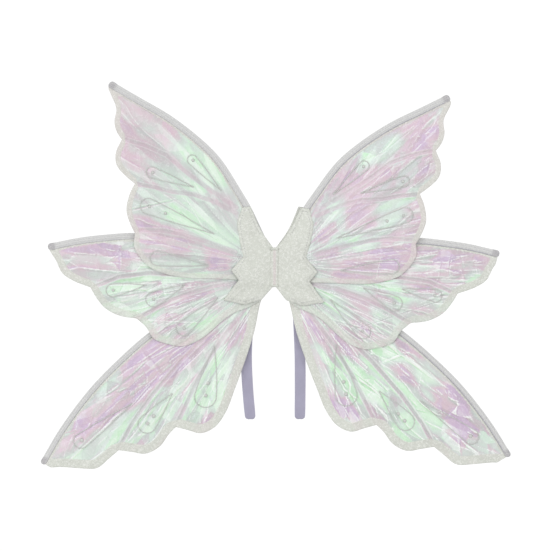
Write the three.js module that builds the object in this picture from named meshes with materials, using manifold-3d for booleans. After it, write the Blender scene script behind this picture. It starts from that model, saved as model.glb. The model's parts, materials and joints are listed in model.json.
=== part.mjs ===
// Fairy wings: three pairs of overlapping film panels on a gathered centre that folds, worn by two elastic arm loops.
//
// Millimetres, +Z up. -Y is the front, the face that is seen from behind the wearer. +Y faces the wearer's back.
// The origin is on the rear face of the centre band, which rests between the shoulder blades.
// Every panel is drawn flat, in (out, up) coordinates: out is the distance from the centre line, up is the height.
// A panel is a glitter backing, a film window on its front, and a casing along its leading edge that holds a wire.
import * as THREE from "three";
import { mergeVertices } from "three/addons/utils/BufferGeometryUtils.js";
import Module from "manifold-3d";

const wasm = await Module();
wasm.setup();

// ---- Driving dimensions -------------------------------------------------------------------------------------
const GAP = 0.3; // between pieces that touch on the real wings
const SHEET = 1.0; // backing cloth with its glitter coat
const FILM = 0.5; // iridescent window film
const COVER = 0.8; // glitter covers over the roots
const CASING = { width: 6.4, thick: 3.0, bore: 2.2 };
const WIRE = { diameter: 1.6, tipSetback: 6, rootReach: 3 };
const BAND = { width: 8, thick: 0.8, top: 22, bottom: -21.5, corner: 3 };
const ELASTIC = { width: 12, thick: 1.1 };
const ROOT_EDGE = 4.7; // where each half begins, clear of the centre band
const REAR_EDGE = 6.6; // where the rear cover begins, so that the wings can also tip back
const FRONT_EDGE = 5.6; // where the front cover begins, as it hangs a little askew beside the centre band

// Depths of the layers at the centre line, front to back.
const DEPTH = { bandFront: -14.1, cover: -12.6, upper: -10.3, middle: -7.0, lower: -3.7, rear: -1.5 };
// How far each layer sweeps away from the wearer, in degrees.
const SWEEP = { upper: 8, middle: 6.5, lower: 5 };
// How far each hand-sewn panel sits off its pattern, in degrees: positive lifts the tip.
const HANG = {
  left: { upper: 0, middle: 0.2, lower: 0 },
  right: { upper: -4.1, middle: -1.7, lower: 1.2 },
};

// ---- Panel patterns -----------------------------------------------------------------------------------------
// lead runs from the root to the tip along the wired edge, and each lobe is one scallop, from the tip back to the
// root. border is the width of the bare glitter edge outside the film window. The patterns are drawn as they look
// from the front, so the sweep of each layer is divided out of their widths.
const PANELS = {
  upper: {
    border: 5,
    lead: [[12, 35], [27, 66.5], [38, 85], [60, 119], [82, 141], [115, 166], [148, 185], [180, 203.5]],
    lobes: [
      [[183, 199], [177.5, 186.5], [172.5, 173], [174.5, 158.5], [172, 148], [166.5, 139.5]],
      [[166.5, 139.5], [173, 125], [172, 111.5], [162, 99.5], [152.5, 91.5]],
      [[152.5, 91.5], [158, 80], [161.5, 63], [158, 49], [152.5, 37]],
      [[152.5, 37], [153.5, 22.5], [138.5, 1.5], [121.5, -6.5], [100.5, -11], [66, -12.5], [37.5, -13.5], [9, -11]],
    ],
  },
  middle: {
    border: 7,
    lead: [[9, -3], [38, 1.5], [65.5, 11.5], [93, 21.5], [120.5, 30], [152.5, 36.5], [181, 35], [214, 31], [247, 24]],
    lobes: [
      [[249, 19.5], [244.5, 16], [238, 6], [231.5, -7], [219, -15.5], [201, -22.5]],
      [[201, -22.5], [195.5, -32.5], [185.5, -45], [169.5, -53.5], [151.5, -56.5]],
      [
        [151.5, -56.5], [141, -65.5], [132.5, -78.5], [117.5, -84.5], [100.5, -87], [80, -78.5],
        [50, -53.5], [22.5, -41], [9, -29],
      ],
    ],
  },
  lower: {
    border: 9,
    lead: [[9, -14], [27, -17], [60, -27], [98.5, -44.5], [138, -71], [170, -99], [203, -133], [236, -177.5], [256, -212]],
    lobes: [
      [[251, -220], [236, -218.5], [214, -220], [195, -220], [181, -209], [171, -200.5]],
      [[171, -200.5], [157, -202.5], [141.5, -204.5], [126, -196.5], [116, -183], [108.5, -175.5]],
      [
        [108.5, -175.5], [95, -179], [81, -182.5], [65.5, -175.5], [53.5, -159], [44.5, -136],
        [32.5, -103], [22.5, -71], [15, -37], [9, -24],
      ],
    ],
  },
};

// The star-shaped cover, one half: up the leading edge, then in and out of its points, and back to the centre line.
const COVER_EDGE = [
  [ROOT_EDGE, 26], [15.5, 42], [26.5, 67], [36, 66], [41.5, 50], [40, 36], [35, 12],
  [48, -3], [40, -14], [57, -36], [33, -41], [14.5, -35.5], [ROOT_EDGE, -25.5],
];

// The arm loops: where the doubled end is sewn on, and how the strap hangs below it.
const LOOP = {
  out: 24, top: -9, hinge: -22, bottom: -167.5, gap: 13, foldRadius: 5,
  bow: { left: 5.5, right: 2 }, // how far the strap bows outwards half way down
  drift: { left: 2.6, right: 4 }, // how far out its lower end hangs
};

// ---- Finishes -----------------------------------------------------------------------------------------------
const finish = (color, roughness, metalness = 0) => new THREE.MeshStandardMaterial({ color, roughness, metalness });
const FINISHES = {
  glitter: finish(0xd4d4cc, 0.7),
  film: finish(0xcfe3d6, 0.2),
  casing: finish(0xc8c7c8, 0.55),
  steel: finish(0x9a9a9c, 0.35, 0.9),
  elastic: finish(0xaba8bd, 0.85),
  thread: finish(0xb9b7c6, 0.8),
  core: finish(0xdedbd4, 0.9),
};

// ---- Geometry helpers ---------------------------------------------------------------------------------------
// A smooth line through (out, up) points, as evenly spaced samples about step apart.
function smooth(points, step) {
  const line = new THREE.CatmullRomCurve3(points.map(([out, up]) => new THREE.Vector3(out, 0, up)), false, "centripetal");
  const samples = line.getSpacedPoints(Math.max(2, Math.round(line.getLength() / step)));
  return samples.map((p) => [p.x, p.z]);
}

// The same line moved sideways: a positive distance moves it to the right of its direction.
function shifted(line, distance) {
  return line.map(([out, up], i) => {
    const before = line[Math.max(0, i - 1)];
    const after = line[Math.min(line.length - 1, i + 1)];
    const [du, dv] = [after[0] - before[0], after[1] - before[1]];
    const long = Math.hypot(du, dv);
    return [out + (distance * dv) / long, up - (distance * du) / long];
  });
}

// How far a point is from the stretch between a and b.
function distanceTo([pu, pv], [au, av], [bu, bv]) {
  const [du, dv] = [bu - au, bv - av];
  const along = Math.min(1, Math.max(0, ((pu - au) * du + (pv - av) * dv) / (du * du + dv * dv)));
  return Math.hypot(pu - au - along * du, pv - av - along * dv);
}

// A closed outline, drawn clockwise, moved inwards: every edge has its own margin, and crossed corners are trimmed.
function inset(outline, margins) {
  const count = outline.length;
  const kept = [];
  outline.forEach((point, i) => {
    const next = outline[(i + 1) % count];
    const [du, dv] = [next[0] - point[0], next[1] - point[1]];
    const long = Math.hypot(du, dv);
    const moved = [
      (point[0] + next[0]) / 2 + (margins[i] * dv) / long,
      (point[1] + next[1]) / 2 - (margins[i] * du) / long,
    ];
    const clear = outline.every((a, j) => distanceTo(moved, a, outline[(j + 1) % count]) > 0.97 * margins[j]);
    if (clear) kept.push(moved);
  });
  return kept;
}

// A flat sheet in the panel's plane, centred on local y = 0. side is -1 on the left and 1 on the right.
function sheet(outline, thickness, side) {
  const shape = new THREE.Shape(outline.map(([out, up]) => new THREE.Vector2(side * out, up)));
  const geometry = new THREE.ExtrudeGeometry(shape, { depth: thickness, bevelEnabled: false });
  return geometry.rotateX(Math.PI / 2).translate(0, thickness / 2, 0);
}

// A rod of oval section along a line of (out, up) points.
function rod(line, width, thick, sides, side) {
  const path = new THREE.CatmullRomCurve3(line.map(([out, up]) => new THREE.Vector3(side * out, 0, up)));
  const section = new THREE.Shape(
    Array.from({ length: sides }, (_, i) => {
      const angle = (2 * Math.PI * (i + 0.5)) / sides;
      return new THREE.Vector2((thick / 2) * Math.cos(angle), (width / 2) * Math.sin(angle));
    }),
  );
  return new THREE.ExtrudeGeometry(section, { steps: line.length - 1, bevelEnabled: false, extrudePath: path });
}

function toSolid(geometry) {
  const bare = geometry.clone();
  bare.deleteAttribute("normal");
  bare.deleteAttribute("uv");
  const merged = mergeVertices(bare, 1e-3);
  const mesh = { numProp: 3, vertProperties: merged.attributes.position.array, triVerts: new Uint32Array(merged.index.array) };
  return new wasm.Manifold(new wasm.Mesh(mesh));
}

function toGeometry(solid) {
  const mesh = solid.getMesh();
  const geometry = new THREE.BufferGeometry();
  geometry.setAttribute("position", new THREE.BufferAttribute(mesh.vertProperties, 3));
  geometry.setIndex(new THREE.BufferAttribute(mesh.triVerts, 1));
  return geometry;
}

function named(name, geometry, material) {
  const mesh = new THREE.Mesh(geometry, material);
  mesh.name = name;
  return mesh;
}

// ---- Wing panels --------------------------------------------------------------------------------------------
const LEAD_STEP = 13;
const LOBE_STEP = 6;

// The clockwise outline of a panel, with each edge's margin to its film window.
function outlineOf(level) {
  const pattern = PANELS[level];
  const stretch = 1 / Math.cos(THREE.MathUtils.degToRad(SWEEP[level]));
  const unswept = (points) => points.map(([out, up]) => [out * stretch, up]);
  const lead = smooth(unswept(pattern.lead), LEAD_STEP);
  const lobes = pattern.lobes.flatMap((lobe, i) => smooth(unswept(lobe), LOBE_STEP).slice(i ? 1 : 0));
  const outline = [...lead, ...lobes];
  const casingMargin = CASING.width + 1.5;
  const margins = outline.map((_, i) => (i < lead.length ? casingMargin : pattern.border));
  return { lead, outline, margins };
}

// The casing is a flat tube with a blind bore, round at the tip, open at the root.
function casingParts(lead, side) {
  const middle = shifted(lead, CASING.width / 2);
  const tip = middle[middle.length - 1];
  const nub = (extra) => {
    const ball = new THREE.SphereGeometry(CASING.width / 2 + extra, 12, 8);
    return ball.scale(1, (CASING.thick + 2 * extra) / (CASING.width + 2 * extra), 1).translate(side * tip[0], 0, tip[1]);
  };
  const tube = (line, extra) =>
    toSolid(rod(line, CASING.width + 2 * extra, CASING.thick + 2 * extra, 10, side)).add(toSolid(nub(extra)));
  const bore = toSolid(rod(extended(middle, WIRE.rootReach), CASING.bore, CASING.bore, 6, side));
  const tipCut = new THREE.SphereGeometry(WIRE.tipSetback - 1, 8, 6).translate(side * tip[0], 0, tip[1]);
  const wire = rod(withoutEnd(extended(middle, WIRE.rootReach), WIRE.tipSetback), WIRE.diameter, WIRE.diameter, 6, side);
  const casing = toGeometry(tube(middle, 0).subtract(bore.subtract(toSolid(tipCut))));
  return { casing, room: tube(extended(middle, WIRE.rootReach + 1), GAP), wire };
}

// The line with one more point, reach beyond its first one.
function extended(line, reach) {
  const [[au, av], [bu, bv]] = line;
  const long = Math.hypot(bu - au, bv - av);
  return [[au - (reach * (bu - au)) / long, av - (reach * (bv - av)) / long], ...line];
}

// The line with its last point drawn back by a setback.
function withoutEnd(line, setback) {
  const [au, av] = line[line.length - 2];
  const [bu, bv] = line[line.length - 1];
  const share = 1 - setback / Math.hypot(bu - au, bv - av);
  return [...line.slice(0, -1), [au + share * (bu - au), av + share * (bv - av)]];
}

function panel(sideName, level) {
  const side = sideName === "left" ? -1 : 1;
  const { lead, outline, margins } = outlineOf(level);
  const { casing, room, wire } = casingParts(lead, side);
  // The backing runs out to the middle of the casing, and is cut back to the casing's inner side.
  const backingEdge = [...shifted(lead, CASING.width / 2), ...outline.slice(lead.length)];
  const backing = toGeometry(largest(toSolid(sheet(backingEdge, SHEET, side)).subtract(room)));
  const film = sheet(inset(outline, margins), FILM, side).translate(0, -(SHEET + FILM) / 2 - GAP, 0);

  const group = new THREE.Group();
  const prefix = `${sideName}_${level}`;
  group.add(named(`${prefix}_backing`, backing, FINISHES.glitter));
  group.add(named(`${prefix}_film`, film, FINISHES.film));
  group.add(named(`${prefix}_casing`, casing, FINISHES.casing));
  group.add(named(`${prefix}_wire`, wire, FINISHES.steel));
  place(group, side, DEPTH[level], SWEEP[level], HANG[sideName][level]);
  return group;
}

// The largest of the bodies that a cut leaves.
function largest(solid) {
  return solid.decompose().reduce((a, b) => (b.volume() > a.volume() ? b : a));
}

// Puts a layer at its depth, swept away from the wearer, with its tip lifted by lift.
function place(group, side, depth, sweep, lift) {
  group.position.y = depth;
  group.rotation.order = "ZYX";
  group.rotation.z = -side * THREE.MathUtils.degToRad(sweep);
  group.rotation.y = -side * THREE.MathUtils.degToRad(lift);
}

// ---- Root covers and arm loops ------------------------------------------------------------------------------
function covers(sideName) {
  const side = sideName === "left" ? -1 : 1;
  const front = new THREE.Group();
  const frontEdge = COVER_EDGE.map(([out, up]) => [Math.max(out, FRONT_EDGE), up]);
  front.add(named(`${sideName}_front_cover`, sheet(frontEdge, COVER, side), FINISHES.glitter));
  place(front, side, DEPTH.cover, SWEEP.upper, HANG[sideName].upper * 0.6);
  const rear = new THREE.Group();
  const rearEdge = COVER_EDGE.map(([out, up]) => [Math.max(out, REAR_EDGE), up]);
  rear.add(named(`${sideName}_rear_cover`, sheet(rearEdge, COVER, side), FINISHES.glitter));
  place(rear, side, DEPTH.rear, SWEEP.lower, 0);
  return [front, rear];
}

// The doubled end of the elastic, sewn flat on the rear cover, and the bar of thread that holds it.
function loopEnd(sideName) {
  const side = sideName === "left" ? -1 : 1;
  const thick = 2 * ELASTIC.thick + GAP;
  const rearFace = COVER / 2 + GAP;
  const middle = (LOOP.top + LOOP.hinge) / 2;
  const tab = new THREE.BoxGeometry(ELASTIC.width, thick, LOOP.top - LOOP.hinge - GAP);
  tab.translate(side * LOOP.out, rearFace + thick / 2, middle + GAP / 2);
  const tack = new THREE.BoxGeometry(ELASTIC.width - 3, COVER, 2.5);
  tack.translate(side * LOOP.out, rearFace + thick + GAP + COVER / 2, middle);
  const group = new THREE.Group();
  group.add(named(`${sideName}_loop_end`, tab, FINISHES.elastic));
  group.add(named(`${sideName}_loop_tack`, tack, FINISHES.thread));
  place(group, side, DEPTH.rear, SWEEP.lower, 0);
  return group;
}

// The strap below its sewn end: down the front, round a fold at the bottom, and up again behind.
function armLoop(sideName) {
  const side = sideName === "left" ? -1 : 1;
  const tilt = THREE.MathUtils.degToRad(SWEEP.lower);
  const start = DEPTH.rear - (LOOP.out - ELASTIC.width / 2) * Math.tan(tilt) + COVER / 2 + GAP;
  const front = start + ELASTIC.thick / 2;
  const behind = front + ELASTIC.thick + GAP;
  const drop = LOOP.hinge - LOOP.bottom;
  const at = (share) => LOOP.hinge - share * drop;
  const fold = LOOP.bottom + ELASTIC.thick / 2;
  const profile = new THREE.CatmullRomCurve3(
    [
      [front, LOOP.hinge - GAP], [front, at(0.25)], [front, at(0.6)], [front + 0.5, at(0.88)],
      [front + LOOP.foldRadius - 1, fold + 1.5], [front + LOOP.foldRadius + 3, fold],
      [front + 2 * LOOP.foldRadius + 2, fold + 5], [front + LOOP.gap, at(0.82)],
      [front + LOOP.gap - 2, at(0.6)], [behind + 3.5, at(0.25)], [behind, LOOP.hinge - GAP],
    ].map(([y, z]) => new THREE.Vector3(0, y, z)),
    false,
    "centripetal",
  );
  const section = new THREE.Shape([
    new THREE.Vector2(-ELASTIC.thick / 2, -ELASTIC.width / 2),
    new THREE.Vector2(ELASTIC.thick / 2, -ELASTIC.width / 2),
    new THREE.Vector2(ELASTIC.thick / 2, ELASTIC.width / 2),
    new THREE.Vector2(-ELASTIC.thick / 2, ELASTIC.width / 2),
  ]);
  const strap = new THREE.ExtrudeGeometry(section, { steps: 44, bevelEnabled: false, extrudePath: profile });
  const position = strap.attributes.position;
  for (let i = 0; i < position.count; i++) {
    const share = (LOOP.hinge - position.getZ(i)) / drop;
    const bow = LOOP.bow[sideName] * Math.sin(Math.PI * Math.min(1, Math.max(0, share)));
    position.setX(i, position.getX(i) + side * (LOOP.out + bow + LOOP.drift[sideName] * share));
  }
  return named(`${sideName}_arm_loop`, strap, FINISHES.elastic);
}

// ---- Centre -------------------------------------------------------------------------------------------------
// A rounded rectangle in (y, z), between two corners.
function roundedShape([y0, z0], [y1, z1], radius) {
  const shape = new THREE.Shape();
  const quarter = Math.PI / 2;
  shape.absarc(y1 - radius, z1 - radius, radius, 0, quarter);
  shape.absarc(y0 + radius, z1 - radius, radius, quarter, 2 * quarter);
  shape.absarc(y0 + radius, z0 + radius, radius, 2 * quarter, 3 * quarter);
  shape.absarc(y1 - radius, z0 + radius, radius, 3 * quarter, 4 * quarter);
  return shape;
}

// A (y, z) shape given a width along X, centred on the centre line.
function acrossCentre(shape, width) {
  const geometry = new THREE.ExtrudeGeometry(shape, { depth: width, bevelEnabled: false, curveSegments: 4 });
  return geometry.rotateX(Math.PI / 2).rotateZ(Math.PI / 2).translate(-width / 2, 0, 0);
}

// The ribbon that is wrapped round the gathered roots, and the seam block of the six roots inside it.
function centre() {
  const grow = (by, corner) =>
    roundedShape([DEPTH.bandFront + by, BAND.bottom + by], [-by, BAND.top - by], corner - by);
  const outer = grow(0, BAND.corner);
  outer.holes.push(grow(BAND.thick, BAND.corner));
  const core = grow(BAND.thick + GAP, BAND.corner);
  return [
    named("centre_band", acrossCentre(outer, BAND.width), FINISHES.glitter),
    named("root_seam", acrossCentre(core, BAND.width - 2 * GAP), FINISHES.core),
  ];
}

// ---- Assembly -----------------------------------------------------------------------------------------------
const wings = new THREE.Group();
wings.add(...centre());
for (const sideName of ["left", "right"]) {
  for (const level of ["upper", "middle", "lower"]) wings.add(panel(sideName, level));
  wings.add(...covers(sideName), loopEnd(sideName), armLoop(sideName));
}
export default wings;
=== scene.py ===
# Fairy wings: six wired film panels, glitter covers and elastic arm loops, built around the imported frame.
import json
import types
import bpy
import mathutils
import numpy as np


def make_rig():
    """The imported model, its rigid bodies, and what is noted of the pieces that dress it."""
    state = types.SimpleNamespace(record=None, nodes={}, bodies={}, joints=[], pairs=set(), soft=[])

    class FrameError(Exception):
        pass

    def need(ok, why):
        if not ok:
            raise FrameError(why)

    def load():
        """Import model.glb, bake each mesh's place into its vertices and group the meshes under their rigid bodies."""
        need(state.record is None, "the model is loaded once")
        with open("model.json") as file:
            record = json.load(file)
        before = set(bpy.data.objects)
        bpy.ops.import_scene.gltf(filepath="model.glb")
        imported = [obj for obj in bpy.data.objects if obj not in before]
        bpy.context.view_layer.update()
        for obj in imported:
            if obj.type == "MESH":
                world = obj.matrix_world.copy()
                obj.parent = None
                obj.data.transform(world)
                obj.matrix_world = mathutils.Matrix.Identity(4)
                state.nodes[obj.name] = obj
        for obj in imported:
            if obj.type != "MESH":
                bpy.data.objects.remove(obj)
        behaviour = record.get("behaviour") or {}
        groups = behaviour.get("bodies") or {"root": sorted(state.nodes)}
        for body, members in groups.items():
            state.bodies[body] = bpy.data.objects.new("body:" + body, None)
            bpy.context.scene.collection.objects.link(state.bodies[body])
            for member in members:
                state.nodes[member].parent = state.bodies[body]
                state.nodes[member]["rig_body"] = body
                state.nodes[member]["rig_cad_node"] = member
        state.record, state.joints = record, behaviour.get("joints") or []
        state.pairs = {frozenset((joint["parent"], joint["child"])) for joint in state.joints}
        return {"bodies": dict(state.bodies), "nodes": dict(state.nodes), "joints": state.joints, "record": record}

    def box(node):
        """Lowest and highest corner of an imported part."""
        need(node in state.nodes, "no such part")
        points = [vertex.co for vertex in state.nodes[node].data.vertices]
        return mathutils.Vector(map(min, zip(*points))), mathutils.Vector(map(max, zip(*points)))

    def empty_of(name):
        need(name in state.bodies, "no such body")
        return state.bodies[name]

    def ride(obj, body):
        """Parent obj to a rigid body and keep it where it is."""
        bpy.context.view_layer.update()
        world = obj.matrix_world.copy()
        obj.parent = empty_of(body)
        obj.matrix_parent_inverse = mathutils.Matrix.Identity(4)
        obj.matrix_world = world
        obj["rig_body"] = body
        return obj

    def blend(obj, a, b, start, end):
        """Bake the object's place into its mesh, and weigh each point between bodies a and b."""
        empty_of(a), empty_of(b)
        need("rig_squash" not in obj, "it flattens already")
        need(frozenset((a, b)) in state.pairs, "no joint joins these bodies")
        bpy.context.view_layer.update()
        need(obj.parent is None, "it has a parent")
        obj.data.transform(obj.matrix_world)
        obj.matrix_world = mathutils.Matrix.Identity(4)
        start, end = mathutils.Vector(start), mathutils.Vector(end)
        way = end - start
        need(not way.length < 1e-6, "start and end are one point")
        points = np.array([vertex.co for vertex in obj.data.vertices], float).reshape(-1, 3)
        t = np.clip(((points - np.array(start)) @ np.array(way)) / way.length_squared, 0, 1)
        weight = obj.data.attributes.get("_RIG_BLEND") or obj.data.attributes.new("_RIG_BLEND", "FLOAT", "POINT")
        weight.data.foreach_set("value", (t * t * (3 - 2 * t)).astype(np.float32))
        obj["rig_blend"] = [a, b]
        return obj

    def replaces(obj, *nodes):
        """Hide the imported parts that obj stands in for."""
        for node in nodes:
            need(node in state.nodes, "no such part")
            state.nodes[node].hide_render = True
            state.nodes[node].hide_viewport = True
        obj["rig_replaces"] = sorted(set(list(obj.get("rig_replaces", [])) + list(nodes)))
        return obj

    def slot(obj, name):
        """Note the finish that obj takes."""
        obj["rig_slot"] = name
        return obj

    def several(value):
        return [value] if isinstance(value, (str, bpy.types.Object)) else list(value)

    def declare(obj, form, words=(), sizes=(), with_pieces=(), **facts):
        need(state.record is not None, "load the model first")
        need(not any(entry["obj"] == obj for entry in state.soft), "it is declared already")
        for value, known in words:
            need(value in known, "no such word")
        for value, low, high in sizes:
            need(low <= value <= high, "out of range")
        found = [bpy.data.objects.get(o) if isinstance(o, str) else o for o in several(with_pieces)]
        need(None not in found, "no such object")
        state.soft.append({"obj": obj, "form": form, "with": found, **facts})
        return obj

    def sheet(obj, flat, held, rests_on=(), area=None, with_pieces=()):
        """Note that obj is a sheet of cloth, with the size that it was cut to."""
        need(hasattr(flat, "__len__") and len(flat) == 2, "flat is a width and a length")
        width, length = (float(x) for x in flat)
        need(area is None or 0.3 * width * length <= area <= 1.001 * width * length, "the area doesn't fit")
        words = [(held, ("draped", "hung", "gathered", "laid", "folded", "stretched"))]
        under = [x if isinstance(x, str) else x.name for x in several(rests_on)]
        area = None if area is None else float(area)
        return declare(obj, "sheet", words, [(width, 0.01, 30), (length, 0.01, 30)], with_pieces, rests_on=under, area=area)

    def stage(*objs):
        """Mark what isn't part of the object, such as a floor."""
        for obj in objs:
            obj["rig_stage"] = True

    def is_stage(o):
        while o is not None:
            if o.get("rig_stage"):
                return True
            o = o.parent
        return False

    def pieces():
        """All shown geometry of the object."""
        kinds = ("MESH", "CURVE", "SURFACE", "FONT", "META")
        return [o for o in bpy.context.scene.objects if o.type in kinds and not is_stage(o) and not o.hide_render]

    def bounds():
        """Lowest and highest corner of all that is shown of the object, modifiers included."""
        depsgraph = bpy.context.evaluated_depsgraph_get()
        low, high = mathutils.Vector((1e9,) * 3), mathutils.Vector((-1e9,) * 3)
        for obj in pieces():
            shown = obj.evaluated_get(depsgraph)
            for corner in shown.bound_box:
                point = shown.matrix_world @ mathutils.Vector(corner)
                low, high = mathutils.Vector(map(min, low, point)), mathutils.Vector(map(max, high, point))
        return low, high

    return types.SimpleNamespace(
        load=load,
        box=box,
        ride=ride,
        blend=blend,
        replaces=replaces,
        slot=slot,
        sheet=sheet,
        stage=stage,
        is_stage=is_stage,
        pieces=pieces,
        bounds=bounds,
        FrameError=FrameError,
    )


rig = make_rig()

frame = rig.load()

import json
import math

import bpy
import numpy as np
from bpy.props import FloatProperty, FloatVectorProperty, IntProperty, PointerProperty
from mathutils import Vector
from mathutils.geometry import delaunay_2d_cdt
from mathutils.kdtree import KDTree

bl_info = {
    "name": "Fairy Wings",
    "version": (1, 0, 0),
    "blender": (4, 5, 0),
    "location": "3D View > Sidebar > Fairy Wings",
    "description": "Builds costume fairy wings around their frame: panels, casings, covers and arm loops",
    "category": "Object",
}

CAD_BOX = [list(corner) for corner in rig.bounds()]
MM = 0.001
FILM_LIFT = 0.35 * MM  # how far the front of the film stands before the front of its backing
LINE_LIFT = 0.45 * MM  # how far the teardrops' lines stand before the film
PANEL_GAP = 0.4 * MM  # left between a hanging lower edge and the panel behind it
HANG_MOST = 3.6 * MM  # how far a lower edge can hang back
CAP_LENGTH = 3.4 * MM  # of a casing's round cap
CAP_COVER = 2 * MM  # how far past the start of its cap a panel's corner reaches
COVER_SPACING = 1.1 * MM  # between the points of a cover's mesh
HEM_MARGIN = 3.4 * MM  # from a cover's edge to its hem
ELASTIC_THICKNESS = 1.1 * MM
SEWN_GAP = 0.3 * MM  # between the two thicknesses of elastic that are sewn together
SIDES = {"left": -1, "right": 1}
LEVELS = ("upper", "middle", "lower")

# How each panel is decorated, in millimetres out from the centre line and up, as on its flat pattern.
# root is the point that its folds run out from. free is how far out the panel comes clear of its neighbour.
# droop is where its lower edge hangs back, fully and not at all.
# veins are the double lines from the dips of the edge to the root. drops are the teardrops: the middle of the
# round end, its radius, the point, and how many dots lie in it.
PATTERNS = {
    "upper": {
        "root": (14, 4), "border": 4.6, "free": 34, "droop": (24, 56),
        "veins": [
            [(165, 140), (140, 133), (118, 123), (95, 103), (69, 84), (42, 66)],
            [(151, 91), (132, 88), (112, 83), (88, 80), (68, 73), (42, 60)],
            [(153, 41), (124, 40.5), (101, 36.5), (75, 28.5), (43, 17)],
        ],
        "drops": [
            ((90, 118), 5.5, (58, 84), 1), ((138, 67), 8.5, (66, 37), 2), ((134, 104), 6, (88, 88), 1),
            ((128, 10), 8, (72, 2), 0),
        ],
    },
    "middle": {
        "root": (16, -10), "border": 6.6, "free": 6, "droop": (-46, -20),
        "veins": [
            [(199, -22), (170, -10), (138, -6), (100, -8), (60, -12)],
            [(150, -56), (128, -43), (100, -30), (70, -21), (44, -17)],
        ],
        "drops": [
            ((177, -25), 7, (140, -19), 1), ((133, -35), 8, (98, -19), 1), ((100, -67), 8, (62, -33), 1),
        ],
    },
    "lower": {
        "root": (12, -22), "border": 8.6, "free": 6, "droop": (-310, -300),
        "veins": [
            [(171, -199), (158, -174), (136, -142), (104, -104), (66, -66), (36, -40)],
            [(108, -174), (98, -152), (84, -122), (64, -88), (42, -56), (28, -38)],
        ],
        "drops": [
            ((212, -190), 8, (156, -149), 1), ((140, -172), 10, (112, -138), 2),
            ((76, -142), 12, (66, -86), 2),
        ],
    },
}

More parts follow.
